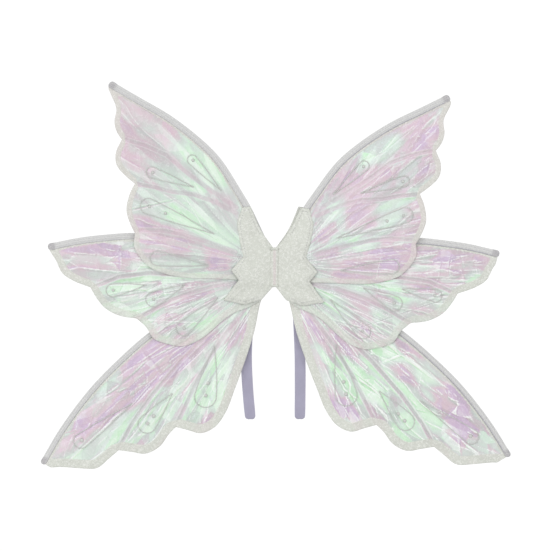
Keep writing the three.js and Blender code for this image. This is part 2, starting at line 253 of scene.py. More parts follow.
# Where the film flashes in colour, as seen from the front: out, up and reach in millimetres, and the tone. These
# flashes are the iridescent colours that the film reflects, painted into its base colour.
# Tone 0 is mint, 0.25 pale aqua, 0.5 silver, 0.75 rose and 1 lilac.
FLASHES = {
    "left_upper": [
        (158, 172, 24, 0.66), (145, 150, 16, 0.68), (124, 148, 14, 0.73), (142, 122, 20, 0.8),
        (108, 128, 9, 0.1), (78, 108, 15, 0.02), (66, 92, 9, 0.05), (112, 122, 8, 0.8), (92, 104, 7, 0.75),
        (60, 82, 7, 0.74), (116, 98, 15, 0.2), (90, 90, 9, 0.15), (140, 68, 12, 0.42), (100, 52, 12, 0.08),
        (72, 40, 14, 0.1), (58, 30, 10, 0.04), (130, 40, 12, 0.93), (95, 34, 9, 0.9), (62, 16, 9, 0.8),
        (132, 22, 10, 0.74), (105, 20, 9, 0.78), (100, 4, 16, 0.34), (64, 4, 7, 1.0), (120, 2, 12, 0.4),
        (60, 66, 12, 0.5),
    ],
    "left_middle": [
        (205, 12, 16, 0.66), (225, 4, 8, 0.3), (186, 6, 10, 0.7), (165, 10, 8, 0.8), (212, -4, 9, 0.85),
        (196, -10, 12, 0.3), (178, -24, 12, 0.25), (160, -36, 14, 0.12), (140, -50, 10, 0.05),
        (150, -10, 12, 0.2), (118, -45, 9, 0.78), (98, -32, 9, 0.76), (116, -60, 9, 0.7),
        (84, -60, 9, 0.08), (70, -64, 8, 0.05), (98, -76, 8, 0.92), (58, -44, 10, 0.4), (90, -48, 8, 0.6),
    ],
    "left_lower": [
        (130, -94, 14, 0.84), (150, -112, 10, 0.78), (112, -76, 10, 0.76), (205, -178, 14, 0.72),
        (178, -156, 13, 0.76), (150, -132, 12, 0.8), (120, -112, 13, 0.84), (92, -94, 13, 0.95),
        (76, -78, 9, 0.9), (210, -198, 14, 0.35), (180, -188, 16, 0.3), (150, -176, 16, 0.3),
        (120, -165, 12, 0.25), (62, -125, 15, 0.02), (86, -152, 12, 0.08), (72, -100, 9, 0.12),
        (42, -74, 9, 0.85), (44, -112, 9, 0.82), (46, -140, 8, 0.76), (78, -174, 9, 0.92),
        (60, -60, 12, 0.25), (232, -200, 12, 0.45),
    ],
    "right_upper": [
        (160, 152, 24, 0.85), (178, 168, 9, 0.4), (129, 131, 10, 0.0), (132, 114, 7, 0.12),
        (102, 120, 10, 0.1), (125, 100, 22, 0.68), (172, 118, 12, 0.74), (90, 94, 14, 0.64),
        (84, 78, 9, 0.9), (70, 66, 9, 0.12), (98, 62, 11, 0.9), (130, 62, 13, 0.16), (152, 62, 12, 0.76),
        (100, 46, 12, 0.74), (140, 40, 12, 0.72), (58, 38, 7, 0.9), (62, 16, 6, 0.92), (95, 26, 13, 0.1),
        (72, 30, 9, 0.2), (106, 6, 20, 0.9), (135, 18, 10, 0.78), (90, -4, 10, 0.85), (60, 96, 10, 0.6),
    ],
    "right_middle": [
        (190, 4, 18, 0.76), (222, 2, 9, 0.7), (222, -8, 7, 0.15), (168, 2, 9, 0.2), (160, -14, 15, 0.86),
        (192, -26, 12, 0.3), (136, -26, 12, 0.02), (116, -34, 9, 0.85), (108, -20, 8, 0.15),
        (160, -42, 9, 0.78), (128, -48, 10, 0.4), (86, -40, 9, 0.82), (74, -54, 10, 0.2),
        (96, -66, 12, 0.85), (64, -34, 10, 0.3), (110, -74, 10, 0.5),
    ],
    "right_lower": [
        (40, -72, 9, 0.8), (52, -104, 8, 0.78), (66, -86, 9, 0.86), (84, -94, 9, 0.9), (62, -104, 11, 0.02),
        (78, -126, 12, 0.04), (92, -110, 11, 0.08), (130, -92, 12, 0.04), (70, -150, 9, 0.85),
        (86, -164, 8, 0.9), (146, -92, 8, 0.85), (141, -116, 9, 0.88), (134, -146, 9, 0.86),
        (168, -120, 9, 0.05), (160, -160, 14, 0.05), (112, -128, 14, 0.03), (102, -146, 11, 0.05),
        (152, -140, 11, 0.05), (116, -92, 10, 0.03), (124, -130, 11, 0.1), (112, -160, 9, 0.86),
        (186, -136, 11, 0.78), (198, -156, 9, 0.82), (212, -182, 12, 0.93), (178, -176, 9, 0.1),
        (190, -196, 12, 0.5), (232, -200, 12, 0.5), (140, -182, 10, 0.2),
    ],
}

# How far past the end of its wire each casing's round cap begins, in millimetres.
# Below 0 it begins before the end.
CAP_START = {
    "left": {"upper": 1.5, "middle": 3.5, "lower": 4.5},
    "right": {"upper": -2.0, "middle": 1.0, "lower": 1.4},
}

# How wide each casing's inner hem is, next to the widest that it could be.
INNER_HEM = {"upper": 0.8, "middle": 0.7, "lower": 0.45}

# How sharply each panel's film is crumpled.
CRUMPLE = {
    "left_upper": 0.4, "left_middle": 0.9, "left_lower": 0.9,
    "right_upper": 0.7, "right_middle": 0.9, "right_lower": 1.4,
}

# The flat width of the centre ribbon before it was gathered: a guess, just over the least a sheet may be.
RIBBON_WIDTH = 0.0101

# The points where the covers pull the film into gathers, out and up in millimetres, and how far they reach.
GATHERS = {
    "upper": [(38, 12, 26)],
    "middle": [(42, -15, 28), (36, -16, 18)],
    "lower": [(30, -40, 22)],
}


# ---- Settings -------------------------------------------------------------------------------------
def linear(code):
    """A colour written as six hex digits, as linear values."""
    parts = [int(code[i:i + 2], 16) / 255 for i in (0, 2, 4)]
    return [c / 12.92 if c <= 0.04045 else ((c + 0.055) / 1.055) ** 2.4 for c in parts]


def colour(name, description, code):
    return FloatVectorProperty(
        name=name, description=description, subtype="COLOR", size=3, min=0, max=1, default=linear(code)
    )


def length(name, description, default, low=0.0, high=1.0):
    return FloatProperty(
        name=name, description=description, default=default, min=low, max=high, unit="LENGTH", precision=5
    )


def share(name, description, default, high=1.0):
    return FloatProperty(
        name=name, description=description, default=default, min=0, max=high, subtype="FACTOR"
    )


class FilmSettings(bpy.types.PropertyGroup):
    """The iridescent film and the way it lies"""

    mint: colour("Mint", "Colour of the film where it flashes green", "C9EDC7")
    aqua: colour("Aqua", "Colour of the film between mint and silver", "D3E3D5")
    silver: colour("Silver", "Colour of the film where it lies flat", "CFD2CD")
    rose: colour("Rose", "Colour of the film where it flashes pink", "D8C1C8")
    lilac: colour("Lilac", "Colour of the film where it flashes violet", "CDB7CD")
    # Painted highlight: the near-white painted along the ridges of the creases and on the brightest facets.
    crease_highlight_tint: colour("Crease", "Colour of the film along its sharp creases", "F6FAF4")
    roughness: share("Roughness", "Roughness of the film", 0.34)
    spacing: length("Mesh spacing", "Distance between the points of a panel's mesh", 0.00095, 0.0006, 0.01)
    fold_height: length("Fold height", "Height of the highest folds in the film", 0.0034, 0, 0.01)
    thickness: length("Thickness", "Thickness of the film", 0.0002, 0.0001, 0.002)
    seed: IntProperty(name="Seed", description="Changes where the small creases fall", default=7, min=0)


class ClothSettings(bpy.types.PropertyGroup):
    """The glitter cloth of the rims, the covers and the centre wrap"""

    base: colour("Cloth", "Colour of the glitter cloth", "D2D5CC")
    flake: colour("Flake", "Colour of the bright flakes", "ECEDE8")
    shadow: colour("Shadow", "Colour between the flakes", "C4C5BE")
    flake_size: length("Flake size", "Distance between flakes", 0.0013, 0.0003, 0.01)
    thickness: length("Thickness", "Thickness of the cloth with its glitter", 0.0008, 0.0002, 0.003)
    puff: length("Rim puff", "How far the rims stand above the film", 0.0007, 0, 0.003)


class EdgingSettings(bpy.types.PropertyGroup):
    """The wired casings along the leading edges"""

    tape: colour("Tape", "Colour of the casing tape", "CFCFCF")
    # The casing's outer rolled edge: its own darker lavender grey, with painted shade laid on, more strongly on the
    # right wings.
    rolled: colour("Rolled edge", "Colour of the casing's outer rolled edge", "9D9BA6")
    nub: colour("Nub", "Colour of the capped tips", "B0AEB1")
    stitch_length: length("Stitch length", "Length of one stitch", 0.0022, 0.0005, 0.01)
    stitch_gap: length("Stitch gap", "Gap between stitches", 0.0012, 0.0002, 0.01)


class StrapSettings(bpy.types.PropertyGroup):
    """The elastic arm loops"""

    elastic: colour("Elastic", "Colour of the elastic", "ABA8BD")
    thread: colour("Thread", "Colour of the sewing thread", "C9C8D0")
    rib: length("Rib spacing", "Distance between the elastic's lengthwise ribs", 0.00125, 0.0003, 0.01)
    bow_left: length("Left bow", "How far the left loop bows outwards", 0.0055, 0, 0.03)
    bow_right: length("Right bow", "How far the right loop bows outwards", 0.002, 0, 0.03)
    drift_left: length("Left drift", "How far out the left loop's lower end hangs", 0.0026, 0, 0.03)
    drift_right: length("Right drift", "How far out the right loop's lower end hangs", 0.004, 0, 0.03)


class StageSettings(bpy.types.PropertyGroup):
    """The camera, the lights and the floor"""

    view_width: length("View width", "Width of the view at the wings", 0.606, 0.1, 5)
    camera_distance: length("Camera distance", "Distance from the camera to the wings", 2.4, 0.5, 20)
    floor: colour("Floor", "Colour of the floor", "F2F2F2")
    ambient: share("Ambient", "Strength of the light from all round", 0.76, 4.0)
    key: FloatProperty(name="Key", description="Power of the main lamp", default=8, min=0, unit="POWER")
    strips: FloatProperty(
        name="Strips", description="Power of a strip lamp", default=2.6, min=0, unit="POWER"
    )


class WingSettings(bpy.types.PropertyGroup):
    """Everything that a user would change"""

    film: PointerProperty(type=FilmSettings)
    cloth: PointerProperty(type=ClothSettings)
    edging: PointerProperty(type=EdgingSettings)
    strap: PointerProperty(type=StrapSettings)
    stage: PointerProperty(type=StageSettings)


def settings():
    return bpy.context.scene.fairy_wings


# ---- Shader node groups ---------------------------------------------------------------------------
class Nodes:
    """Short ways to add and join the nodes of one tree."""

    def __init__(self, tree):
        self.tree = tree

    def add(self, kind, **values):
        node = self.tree.nodes.new(kind)
        for key, value in values.items():
            setattr(node, key, value)
        return node

    def put(self, socket, value):
        if isinstance(value, bpy.types.NodeSocket):
            self.tree.links.new(value, socket)
        elif hasattr(value, "__len__") and socket.type == "RGBA" and len(value) == 3:
            socket.default_value = (*value, 1)
        else:
            socket.default_value = value

    def math(self, operation, a, b=0.0, clamp=False):
        node = self.add("ShaderNodeMath", operation=operation, use_clamp=clamp)
        self.put(node.inputs[0], a)
        self.put(node.inputs[1], b)
        return node.outputs[0]

    def mix(self, factor, a, b, blend="MIX"):
        node = self.add("ShaderNodeMix", data_type="RGBA", blend_type=blend)
        self.put(node.inputs["Factor"], factor)
        self.put(node.inputs[6], a)
        self.put(node.inputs[7], b)
        return node.outputs[2]

    def spread(self, value, low, high, to_low=0.0, to_high=1.0):
        node = self.add("ShaderNodeMapRange", interpolation_type="SMOOTHSTEP")
        for socket, number in zip(node.inputs, (value, low, high, to_low, to_high)):
            self.put(socket, number)
        return node.outputs[0]

    def noise(self, place, scale, detail=2.0, roughness=0.5, kind="FBM"):
        node = self.add("ShaderNodeTexNoise", noise_type=kind)
        self.put(node.inputs["Vector"], place)
        self.put(node.inputs["Scale"], scale)
        self.put(node.inputs["Detail"], detail)
        self.put(node.inputs["Roughness"], roughness)
        return node

    def voronoi(self, place, scale):
        node = self.add("ShaderNodeTexVoronoi", feature="F1")
        self.put(node.inputs["Vector"], place)
        self.put(node.inputs["Scale"], scale)
        return node.outputs["Color"]

    def split(self, tint):
        node = self.add("ShaderNodeSeparateColor")
        self.put(node.inputs[0], tint)
        return node.outputs

    def vector(self, operation, *values):
        node = self.add("ShaderNodeVectorMath", operation=operation)
        for socket, value in zip(node.inputs, values):
            self.put(socket, value)
        return node.outputs[0]

    def place(self):
        """Where a point lies on its object, in metres."""
        return self.add("ShaderNodeTexCoord").outputs["Object"]

    def mark(self, name):
        return self.add("ShaderNodeAttribute", attribute_name=name).outputs["Fac"]

    def wash(self, base, mask, strength, tint):
        """The base with a tint laid over it where the mask is, at most as strongly as given."""
        return self.mix(self.math("MULTIPLY", mask, strength), base, tint)

    def bump(self, height, strength, distance, normal=None):
        node = self.add("ShaderNodeBump")
        self.put(node.inputs["Height"], height)
        self.put(node.inputs["Strength"], strength)
        self.put(node.inputs["Distance"], distance)
        if normal is not None:
            self.put(node.inputs["Normal"], normal)
        return node.outputs["Normal"]


def node_group(name, inputs, outputs):
    """A new shader node group: inputs are (name, socket type, default), outputs are (name, socket type)."""
    tree = bpy.data.node_groups.new(name, "ShaderNodeTree")
    for label, kind, default in inputs:
        socket = tree.interface.new_socket(label, in_out="INPUT", socket_type=kind)
        socket.default_value = default
    for label, kind in outputs:
        tree.interface.new_socket(label, in_out="OUTPUT", socket_type=kind)
    nodes = Nodes(tree)
    return nodes, nodes.add("NodeGroupInput").outputs, nodes.add("NodeGroupOutput").inputs


def make_glitter_group():
    """Flakes of glitter: each cell is one flake, with its own tilt and brightness."""
    nodes, given, out = node_group(
        "Glitter flakes",
        [("Flake size", "NodeSocketFloat", 0.001), ("Tilt", "NodeSocketFloat", 0.5)],
        [("Bright", "NodeSocketFloat"), ("Dark", "NodeSocketFloat"), ("Normal", "NodeSocketVector")],
    )
    scale = nodes.math("DIVIDE", 1.0, given["Flake size"])
    large = nodes.split(nodes.voronoi(nodes.place(), scale))
    fine = nodes.voronoi(nodes.place(), nodes.math("MULTIPLY", scale, 2.3))
    bright = nodes.math("MULTIPLY", nodes.spread(large[0], 0.55, 0.95), 0.7)
    glint = nodes.spread(nodes.split(fine)[0], 0.7, 1.0, 0, 0.5)
    nodes.put(out["Bright"], nodes.math("ADD", bright, glint, True))
    nodes.put(out["Dark"], nodes.spread(large[1], 0.5, 1.0))
    tilt = nodes.vector("MULTIPLY", nodes.vector("SUBTRACT", fine, (0.5, 0.5, 0.5)), given["Tilt"])
    lean = nodes.vector("ADD", nodes.add("ShaderNodeNewGeometry").outputs["Normal"], tilt)
    nodes.put(out["Normal"], nodes.vector("NORMALIZE", lean))
    return nodes.tree


def make_crumple_group():
    """The small sharp wrinkles of cellophane, as a height and a mask of the ridges."""
    nodes, given, out = node_group(
        "Film crumple", [("Size", "NodeSocketFloat", 0.01)],
        [("Height", "NodeSocketFloat"), ("Ridge", "NodeSocketFloat")],
    )
    place = nodes.place()
    scale = nodes.math("DIVIDE", 1.0, given["Size"])
    warp = nodes.noise(place, nodes.math("MULTIPLY", scale, 0.5), 1.0).outputs["Color"]
    moved = nodes.vector("MULTIPLY_ADD", warp, (0.012, 0.012, 0.012), place)
    ridges = nodes.noise(moved, scale, 3.0, 0.45).outputs[0]
    fold = nodes.math("ABSOLUTE", nodes.math("SUBTRACT", ridges, 0.5))
    nodes.put(out["Height"], nodes.spread(fold, 0.0, 0.16, 1.0, 0.0))
    nodes.put(out["Ridge"], nodes.spread(fold, 0.0, 0.02, 1.0, 0.0))
    return nodes.tree


def make_film_group(film):
    """The film's colours, painted into its base colour: the iridescent colour that it reflects, from a tone of 0 to 1,
    the painted light and shade of its facets, painted highlights along its creases and painted shade at its gathers.
    """
    nodes, given, out = node_group(
        "Film colours",
        [
            ("Tone", "NodeSocketFloat", 0.5), ("Shine", "NodeSocketFloat", 0.5),
            ("Crease", "NodeSocketFloat", 0.0), ("Gather", "NodeSocketFloat", 0.0),
        ],
        [("Colour", "NodeSocketColor")],
    )
    drift = nodes.noise(nodes.place(), 60).outputs[0]
    tone = nodes.math("ADD", given["Tone"], nodes.spread(drift, 0.3, 0.7, -0.06, 0.06), True)
    ramp = nodes.add("ShaderNodeValToRGB")
    stops = [(0.0, film.mint), (0.25, film.aqua), (0.5, film.silver), (0.75, film.rose), (1.0, film.lilac)]
    while len(ramp.color_ramp.elements) < len(stops):
        ramp.color_ramp.elements.new(0.5)
    for element, (position, tint) in zip(ramp.color_ramp.elements, stops):
        element.position = position
        element.color = (*tint, 1)
    nodes.put(ramp.inputs[0], tone)
    # Painted light and shade of the facets: where the mark is low the colour is greyed as painted shade, where it is
    # high it is whitened as painted highlight.
    facet_shaded = nodes.mix(nodes.spread(given["Shine"], 0.5, 0.0, 0.0, 0.3), ramp.outputs[0], (0.35, 0.34, 0.34))
    bright = nodes.mix(nodes.spread(given["Shine"], 0.5, 1.0, 0.0, 0.5), facet_shaded, film.crease_highlight_tint)
    # Painted highlight along the ridges of the creases.
    crease_highlighted = nodes.mix(given["Crease"], bright, film.crease_highlight_tint)
    # Painted shade at the gathers.
    nodes.put(out["Colour"], nodes.wash(crease_highlighted, given["Gather"], 0.7, (0.18, 0.2, 0.18)))
    return nodes.tree


def make_weave_group():
    """A woven band: lengthwise ribs and crosswise threads, as a height, and a mask of its valleys for painted shade.
    Its place is in metres.
    """
    nodes, given, out = node_group(
        "Woven ribs",
        [("Place", "NodeSocketVector", (0, 0, 0)), ("Rib", "NodeSocketFloat", 0.001)],
        [("Height", "NodeSocketFloat"), ("Valley", "NodeSocketFloat")],
    )
    split = nodes.add("ShaderNodeSeparateXYZ")
    nodes.put(split.inputs[0], given["Place"])
    turn = nodes.math("DIVIDE", 2 * math.pi, given["Rib"])
    across = nodes.math("SINE", nodes.math("MULTIPLY", split.outputs[0], turn))
    along = nodes.math("SINE", nodes.math("MULTIPLY", split.outputs[1], nodes.math("MULTIPLY", turn, 1.6)))
    woven = nodes.math("MULTIPLY", across, along)
    height = nodes.math("ADD", nodes.math("MULTIPLY", across, 0.6), nodes.math("MULTIPLY", woven, 0.4))
    nodes.put(out["Height"], nodes.spread(height, -1.0, 1.0))
    nodes.put(out["Valley"], nodes.spread(height, -0.9, 0.0, 1.0, 0.0))
    return nodes.tree


GROUPS = {}


def place_group(nodes, name, **values):
    node = nodes.add("ShaderNodeGroup", node_tree=GROUPS[name])
    for key, value in values.items():
        nodes.put(node.inputs[key.replace("_", " ")], value)
    return node.outputs


def new_material(name, **plain):
    """A material with one Principled shader, whose plain values are set on its own sockets."""
    material = bpy.data.materials.new(name)
    material.use_nodes = True
    shader = material.node_tree.nodes["Principled BSDF"]
    for key, value in plain.items():
        shader.inputs[key.replace("_", " ")].default_value = value
    return material, Nodes(material.node_tree), shader.inputs


# ---- Materials ------------------------------------------------------------------------------------
def film_material():
    film = settings().film
    material, nodes, shader = new_material(
        "window_film", Metallic=0.0, IOR=1.5, Coat_Weight=0.28, Coat_Roughness=0.2, Coat_IOR=1.5,
        Thin_Film_Thickness=360.0, Thin_Film_IOR=1.6,
    )
    crumple = place_group(nodes, "crumple", Size=0.0075)
    # Painted highlight on the ridges of the small crumples.
    ridge_highlight = nodes.math("MULTIPLY", crumple["Ridge"], 0.22)
    crease = nodes.math("ADD", nodes.mark("crease"), ridge_highlight, True)
    marks = {"Tone": nodes.mark("tone"), "Shine": nodes.mark("shine"), "Gather": nodes.mark("gather")}
    nodes.put(shader["Base Color"], place_group(nodes, "film", Crease=crease, **marks)["Colour"])
    haze = nodes.noise(nodes.place(), 90).outputs[0]
    nodes.put(shader["Roughness"], nodes.spread(haze, 0.3, 0.7, film.roughness - 0.07, film.roughness + 0.09))
    nodes.put(shader["Normal"], nodes.bump(crumple["Height"], 0.45, 0.0005))
    return material


def window_look(nodes, rim, base, rough, normal, flakes):
    """A cloth's colour, roughness and normal, with the film showing through where the rim mark is 0."""
    cloth = settings().cloth
    marks = {"Tone": nodes.mark("tone"), "Shine": nodes.mark("shine"), "Crease": nodes.mark("crease")}
    window = nodes.wash(place_group(nodes, "film", **marks)["Colour"], flakes["Bright"], 0.3, cloth.flake)
    base = nodes.mix(rim, window, base)
    rough = nodes.math("ADD", nodes.math("MULTIPLY", rim, nodes.math("SUBTRACT", rough, 0.34)), 0.34)
    crumple = place_group(nodes, "crumple", Size=0.012)
    strength = nodes.math("SUBTRACT", 0.4, nodes.math("MULTIPLY", rim, 0.35))
    return base, rough, nodes.bump(crumple["Height"], strength, 0.0004, normal)


def cloth_material(name, windowed=False):
    """Glitter cloth. A windowed cloth shows the film's colours where its rim mark is 0."""
    cloth = settings().cloth
    material, nodes, shader = new_material(name, IOR=1.5, Coat_Weight=0.15, Coat_Roughness=0.3)
    flakes = place_group(nodes, "glitter", Flake_size=cloth.flake_size, Tilt=0.4)
    patches = nodes.noise(nodes.place(), 35, 3.0).outputs[0]
    base = nodes.mix(nodes.spread(patches, 0.35, 0.7, 0.0, 0.35), cloth.base, cloth.shadow)
    base = nodes.wash(base, flakes["Dark"], 0.28, cloth.shadow)
    base = nodes.wash(base, flakes["Bright"], 0.7, cloth.flake)
    base = nodes.wash(base, nodes.mark("blush"), 0.35, settings().film.rose)
    rough = nodes.spread(flakes["Bright"], 0.0, 1.0, 0.62, 0.3)
    fuzz = nodes.noise(nodes.place(), 900, 3.0).outputs[0]
    normal = nodes.bump(fuzz, 0.5, 0.0003, flakes["Normal"])
    if windowed:
        base, rough, normal = window_look(nodes, nodes.mark("rim"), base, rough, normal, flakes)
    # Painted shade at the gathers and on the front of the centre ribbon.
    nodes.put(shader["Base Color"], nodes.wash(base, nodes.mark("gather"), 0.75, (0.12, 0.12, 0.11)))
    nodes.put(shader["Roughness"], rough)
    nodes.put(shader["Normal"], normal)
    return material


def casing_material():
    edging, cloth = settings().edging, settings().cloth
    material, nodes, shader = new_material("edge_casing", IOR=1.5, Coat_Weight=0.2, Coat_Roughness=0.25)
    flakes = place_group(nodes, "glitter", Flake_size=cloth.flake_size * 0.8, Tilt=0.35)
    # The rolled edge's colour, which holds painted shade, more on the right wings.
    base = nodes.mix(nodes.mark("rolled"), edging.tape, edging.rolled)
    base = nodes.mix(nodes.mark("nub"), base, edging.nub)
    base = nodes.wash(base, flakes["Bright"], 0.35, cloth.flake)
    base = nodes.wash(base, flakes["Dark"], 0.2, cloth.shadow)
    # Painted shade in the grooves between the pressed ribs.
    base = nodes.wash(base, nodes.mark("groove"), 0.22, (0.4, 0.4, 0.42))
    nodes.put(shader["Base Color"], base)
    nodes.put(shader["Roughness"], nodes.spread(flakes["Bright"], 0.0, 1.0, 0.52, 0.34))
    weave = place_group(nodes, "weave", Place=nodes.add("ShaderNodeUVMap").outputs[0], Rib=0.0009)
    nodes.put(shader["Normal"], nodes.bump(weave["Height"], 0.4, 0.0002, flakes["Normal"]))
    return material


def elastic_material():
    strap = settings().strap
    material, nodes, shader = new_material("loop_elastic", IOR=1.45, Sheen_Weight=0.25, Sheen_Roughness=0.5)
    place = nodes.add("ShaderNodeUVMap").outputs[0]
    weave = place_group(nodes, "weave", Place=place, Rib=strap.rib)
    valley_shade_tint = darker(strap.elastic, 0.62)
    light = [min(1, c * 1.16) for c in strap.elastic]
    stretch = nodes.noise(place, 45, 3.0).outputs[0]
    base = nodes.mix(nodes.spread(stretch, 0.35, 0.7, 0.0, 0.4), strap.elastic, light)
    # Painted shade in the valleys of the weave.
    base = nodes.wash(base, weave["Valley"], 0.55, valley_shade_tint)
    # Paler along both edges of the strap.
    nodes.put(shader["Base Color"], nodes.wash(base, nodes.mark("worn"), 0.4, light))
    fuzz = nodes.noise(place, 1600).outputs[0]
    nodes.put(shader["Roughness"], nodes.spread(fuzz, 0.2, 0.8, 0.7, 0.92))
    nodes.put(shader["Normal"], nodes.bump(weave["Height"], 0.8, 0.0003, nodes.bump(fuzz, 0.3, 0.0002)))
    return material


def line_material():
    """The raised silver lines that draw the teardrops."""
    material, nodes, shader = new_material("vein_print", IOR=1.5, Coat_Weight=0.3, Coat_Roughness=0.2)
    flakes = place_group(nodes, "glitter", Flake_size=0.0007, Tilt=0.5)
    base = nodes.mix(flakes["Bright"], (0.57, 0.58, 0.56), settings().cloth.base)
    nodes.put(shader["Base Color"], nodes.wash(base, flakes["Dark"], 0.4, (0.5, 0.51, 0.5)))
    nodes.put(shader["Roughness"], nodes.spread(flakes["Bright"], 0.0, 1.0, 0.5, 0.3))
    nodes.put(shader["Normal"], flakes["Normal"])
    return material


def darker(tint, part):
    return [c * part for c in tint]


def thread_material(name, tint):
    """Twisted sewing thread."""
    material, nodes, shader = new_material(name, IOR=1.45, Sheen_Weight=0.2)
    twist = nodes.noise(nodes.place(), 2500).outputs[0]
    shade = nodes.noise(nodes.place(), 120).outputs[0]
    base = nodes.mix(nodes.spread(shade, 0.3, 0.7, 0.0, 0.5), tint, darker(tint, 0.75))
    nodes.put(shader["Base Color"], base)
    nodes.put(shader["Roughness"], nodes.spread(twist, 0.3, 0.7, 0.6, 0.85))
    nodes.put(shader["Normal"], nodes.bump(twist, 0.7, 0.0002))
    return material


def wire_material():
    """Drawn spring wire, with fine lengthwise scratches."""
    material, nodes, shader = new_material("frame_wire", Metallic=1.0)
    drawn = nodes.noise(nodes.vector("MULTIPLY", nodes.place(), (300.0, 4000.0, 300.0)), 1.0, 3.0).outputs[0]
    base = nodes.mix(nodes.spread(drawn, 0.3, 0.7), (0.42, 0.42, 0.43), (0.56, 0.56, 0.58))
    nodes.put(shader["Base Color"], base)
    nodes.put(shader["Roughness"], nodes.spread(drawn, 0.2, 0.8, 0.25, 0.45))
    nodes.put(shader["Normal"], nodes.bump(drawn, 0.3, 0.0001))
    return material


def core_material():
    """Layers of cloth packed into the seam at the centre."""
    material, nodes, shader = new_material("seam_core", Sheen_Weight=0.2)
    layers = nodes.noise(nodes.vector("MULTIPLY", nodes.place(), (40.0, 900.0, 40.0)), 1.0, 3.0).outputs[0]
    base = nodes.mix(nodes.spread(layers, 0.3, 0.7), (0.5, 0.5, 0.46), (0.72, 0.71, 0.66))
    nodes.put(shader["Base Color"], base)
    nodes.put(shader["Roughness"], nodes.spread(layers, 0.2, 0.8, 0.8, 0.95))
    nodes.put(shader["Normal"], nodes.bump(layers, 0.5, 0.0005))
    return material


MATERIALS = {}


def make_materials():
    GROUPS.update(
        glitter=make_glitter_group(), crumple=make_crumple_group(), film=make_film_group(settings().film),
        weave=make_weave_group(),
    )
    MATERIALS.update(
        film=film_material(), panel=cloth_material("panel_cloth", windowed=True),
        cloth=cloth_material("glitter_cloth"), casing=casing_material(), elastic=elastic_material(),
        line=line_material(), wire=wire_material(), core=core_material(),
        thread=thread_material("sewing_thread", settings().strap.thread),
        edge_thread=thread_material("casing_thread", linear("C2C1C2")),
    )


# ---- Shapes ---------------------------------------------------------------------------------------
def smoothstep(value, low, high):
    t = np.clip((np.asarray(value, float) - low) / (high - low), 0, 1)
    return t * t * (3 - 2 * t)


def hump(value, middle, width):
    """A smooth hump that is 1 at the middle."""
    return np.exp(-(((value - middle) / width) ** 2))


def unit(rows):
    """Each row at length 1."""
    return rows / np.linalg.norm(rows, axis=1, keepdims=True)


def heading(line, closed=False):
    """The direction of a line at each of its points."""
    return unit(np.roll(line, -1, 0) - np.roll(line, 1, 0) if closed else np.gradient(line, axis=0))


def walk(line):
    """How far along a line each of its points is."""
    return np.concatenate([[0], np.cumsum(np.linalg.norm(np.diff(line, axis=0), axis=1))])


def along_line(at, walked, rows):
    """Rows of values, one for each point of a line, read off at other distances along it."""
    return np.column_stack([np.interp(at, walked, axis) for axis in rows.T])


def spot_tree(spots):
    """A search tree of (x, z) spots."""
    tree = KDTree(len(spots))
    for i, (x, z) in enumerate(spots):
        tree.insert((x, z, 0), i)
    tree.balance()
    return tree


def noise(x, y, seed):
    """Smooth noise from -1 to 1, about one bump a unit."""
    lattice = np.random.default_rng(seed).uniform(-1, 1, (67, 67))
    column, row = np.floor(x).astype(int), np.floor(y).astype(int)
    u, v = smoothstep(x - column, 0, 1), smoothstep(y - row, 0, 1)
    corner = [[lattice[(column + i) % 67, (row + j) % 67] for j in (0, 1)] for i in (0, 1)]
    near = corner[0][0] * (1 - u) + corner[1][0] * u
    far = corner[0][1] * (1 - u) + corner[1][1] * u
    return near * (1 - v) + far * v


def ridged(x, y, seed):
    """Noise with sharp ridges, from -1 to 1."""
    return 1 - 2.6 * np.abs(noise(x, y, seed))


def cells(u, v, seed):
    """Straight-sided cells, about one a unit: how far inside its cell each place is, the cell's three steady
    numbers, and where the place is from its middle."""
    draw = np.random.default_rng(seed)
    jitter, values = draw.uniform(0.08, 0.92, (61, 61, 2)), draw.uniform(-1, 1, (61, 61, 3))
    column, row = np.floor(u).astype(int), np.floor(v).astype(int)
    nearest, second = np.full(len(u), np.inf), np.full(len(u), np.inf)
    own, offset = np.zeros((len(u), 3)), np.zeros((len(u), 2))
    for i in (-1, 0, 1):
        for j in (-1, 0, 1):
            cell = ((column + i) % 61, (row + j) % 61)
            gap = np.column_stack([u - column - i, v - row - j]) - jitter[cell]
            far = np.linalg.norm(gap, axis=1)
            closer = far < nearest
            second = np.where(closer, nearest, np.minimum(second, far))
            nearest = np.minimum(nearest, far)
            own[closer], offset[closer] = values[cell][closer], gap[closer]
    return second - nearest, own, offset


def even(points, step, closed=False):
    """A smooth line through points, as evenly spaced samples about step apart."""
    points = np.asarray(points, float)
    if closed:
        padded = np.vstack([points[-1], points, points[0], points[1]])
    else:
        padded = np.vstack([2 * points[0] - points[1], points, 2 * points[-1] - points[-2]])
    t = np.linspace(0, 1, 13)[:-1, None]
    runs = []
    for p0, p1, p2, p3 in zip(padded, padded[1:], padded[2:], padded[3:]):
        runs.append(0.5 * (2 * p1 + (p2 - p0) * t + (2 * p0 - 5 * p1 + 4 * p2 - p3) * t**2
                           + (3 * p1 - p0 - 3 * p2 + p3) * t**3))
    line = np.vstack([*runs, points[0] if closed else points[-1]])
    walked = walk(line)
    count = max(3, round(walked[-1] / step)) + 1
    at = np.linspace(0, walked[-1], count)[: count - 1 if closed else count]
    return along_line(at, walked, line)


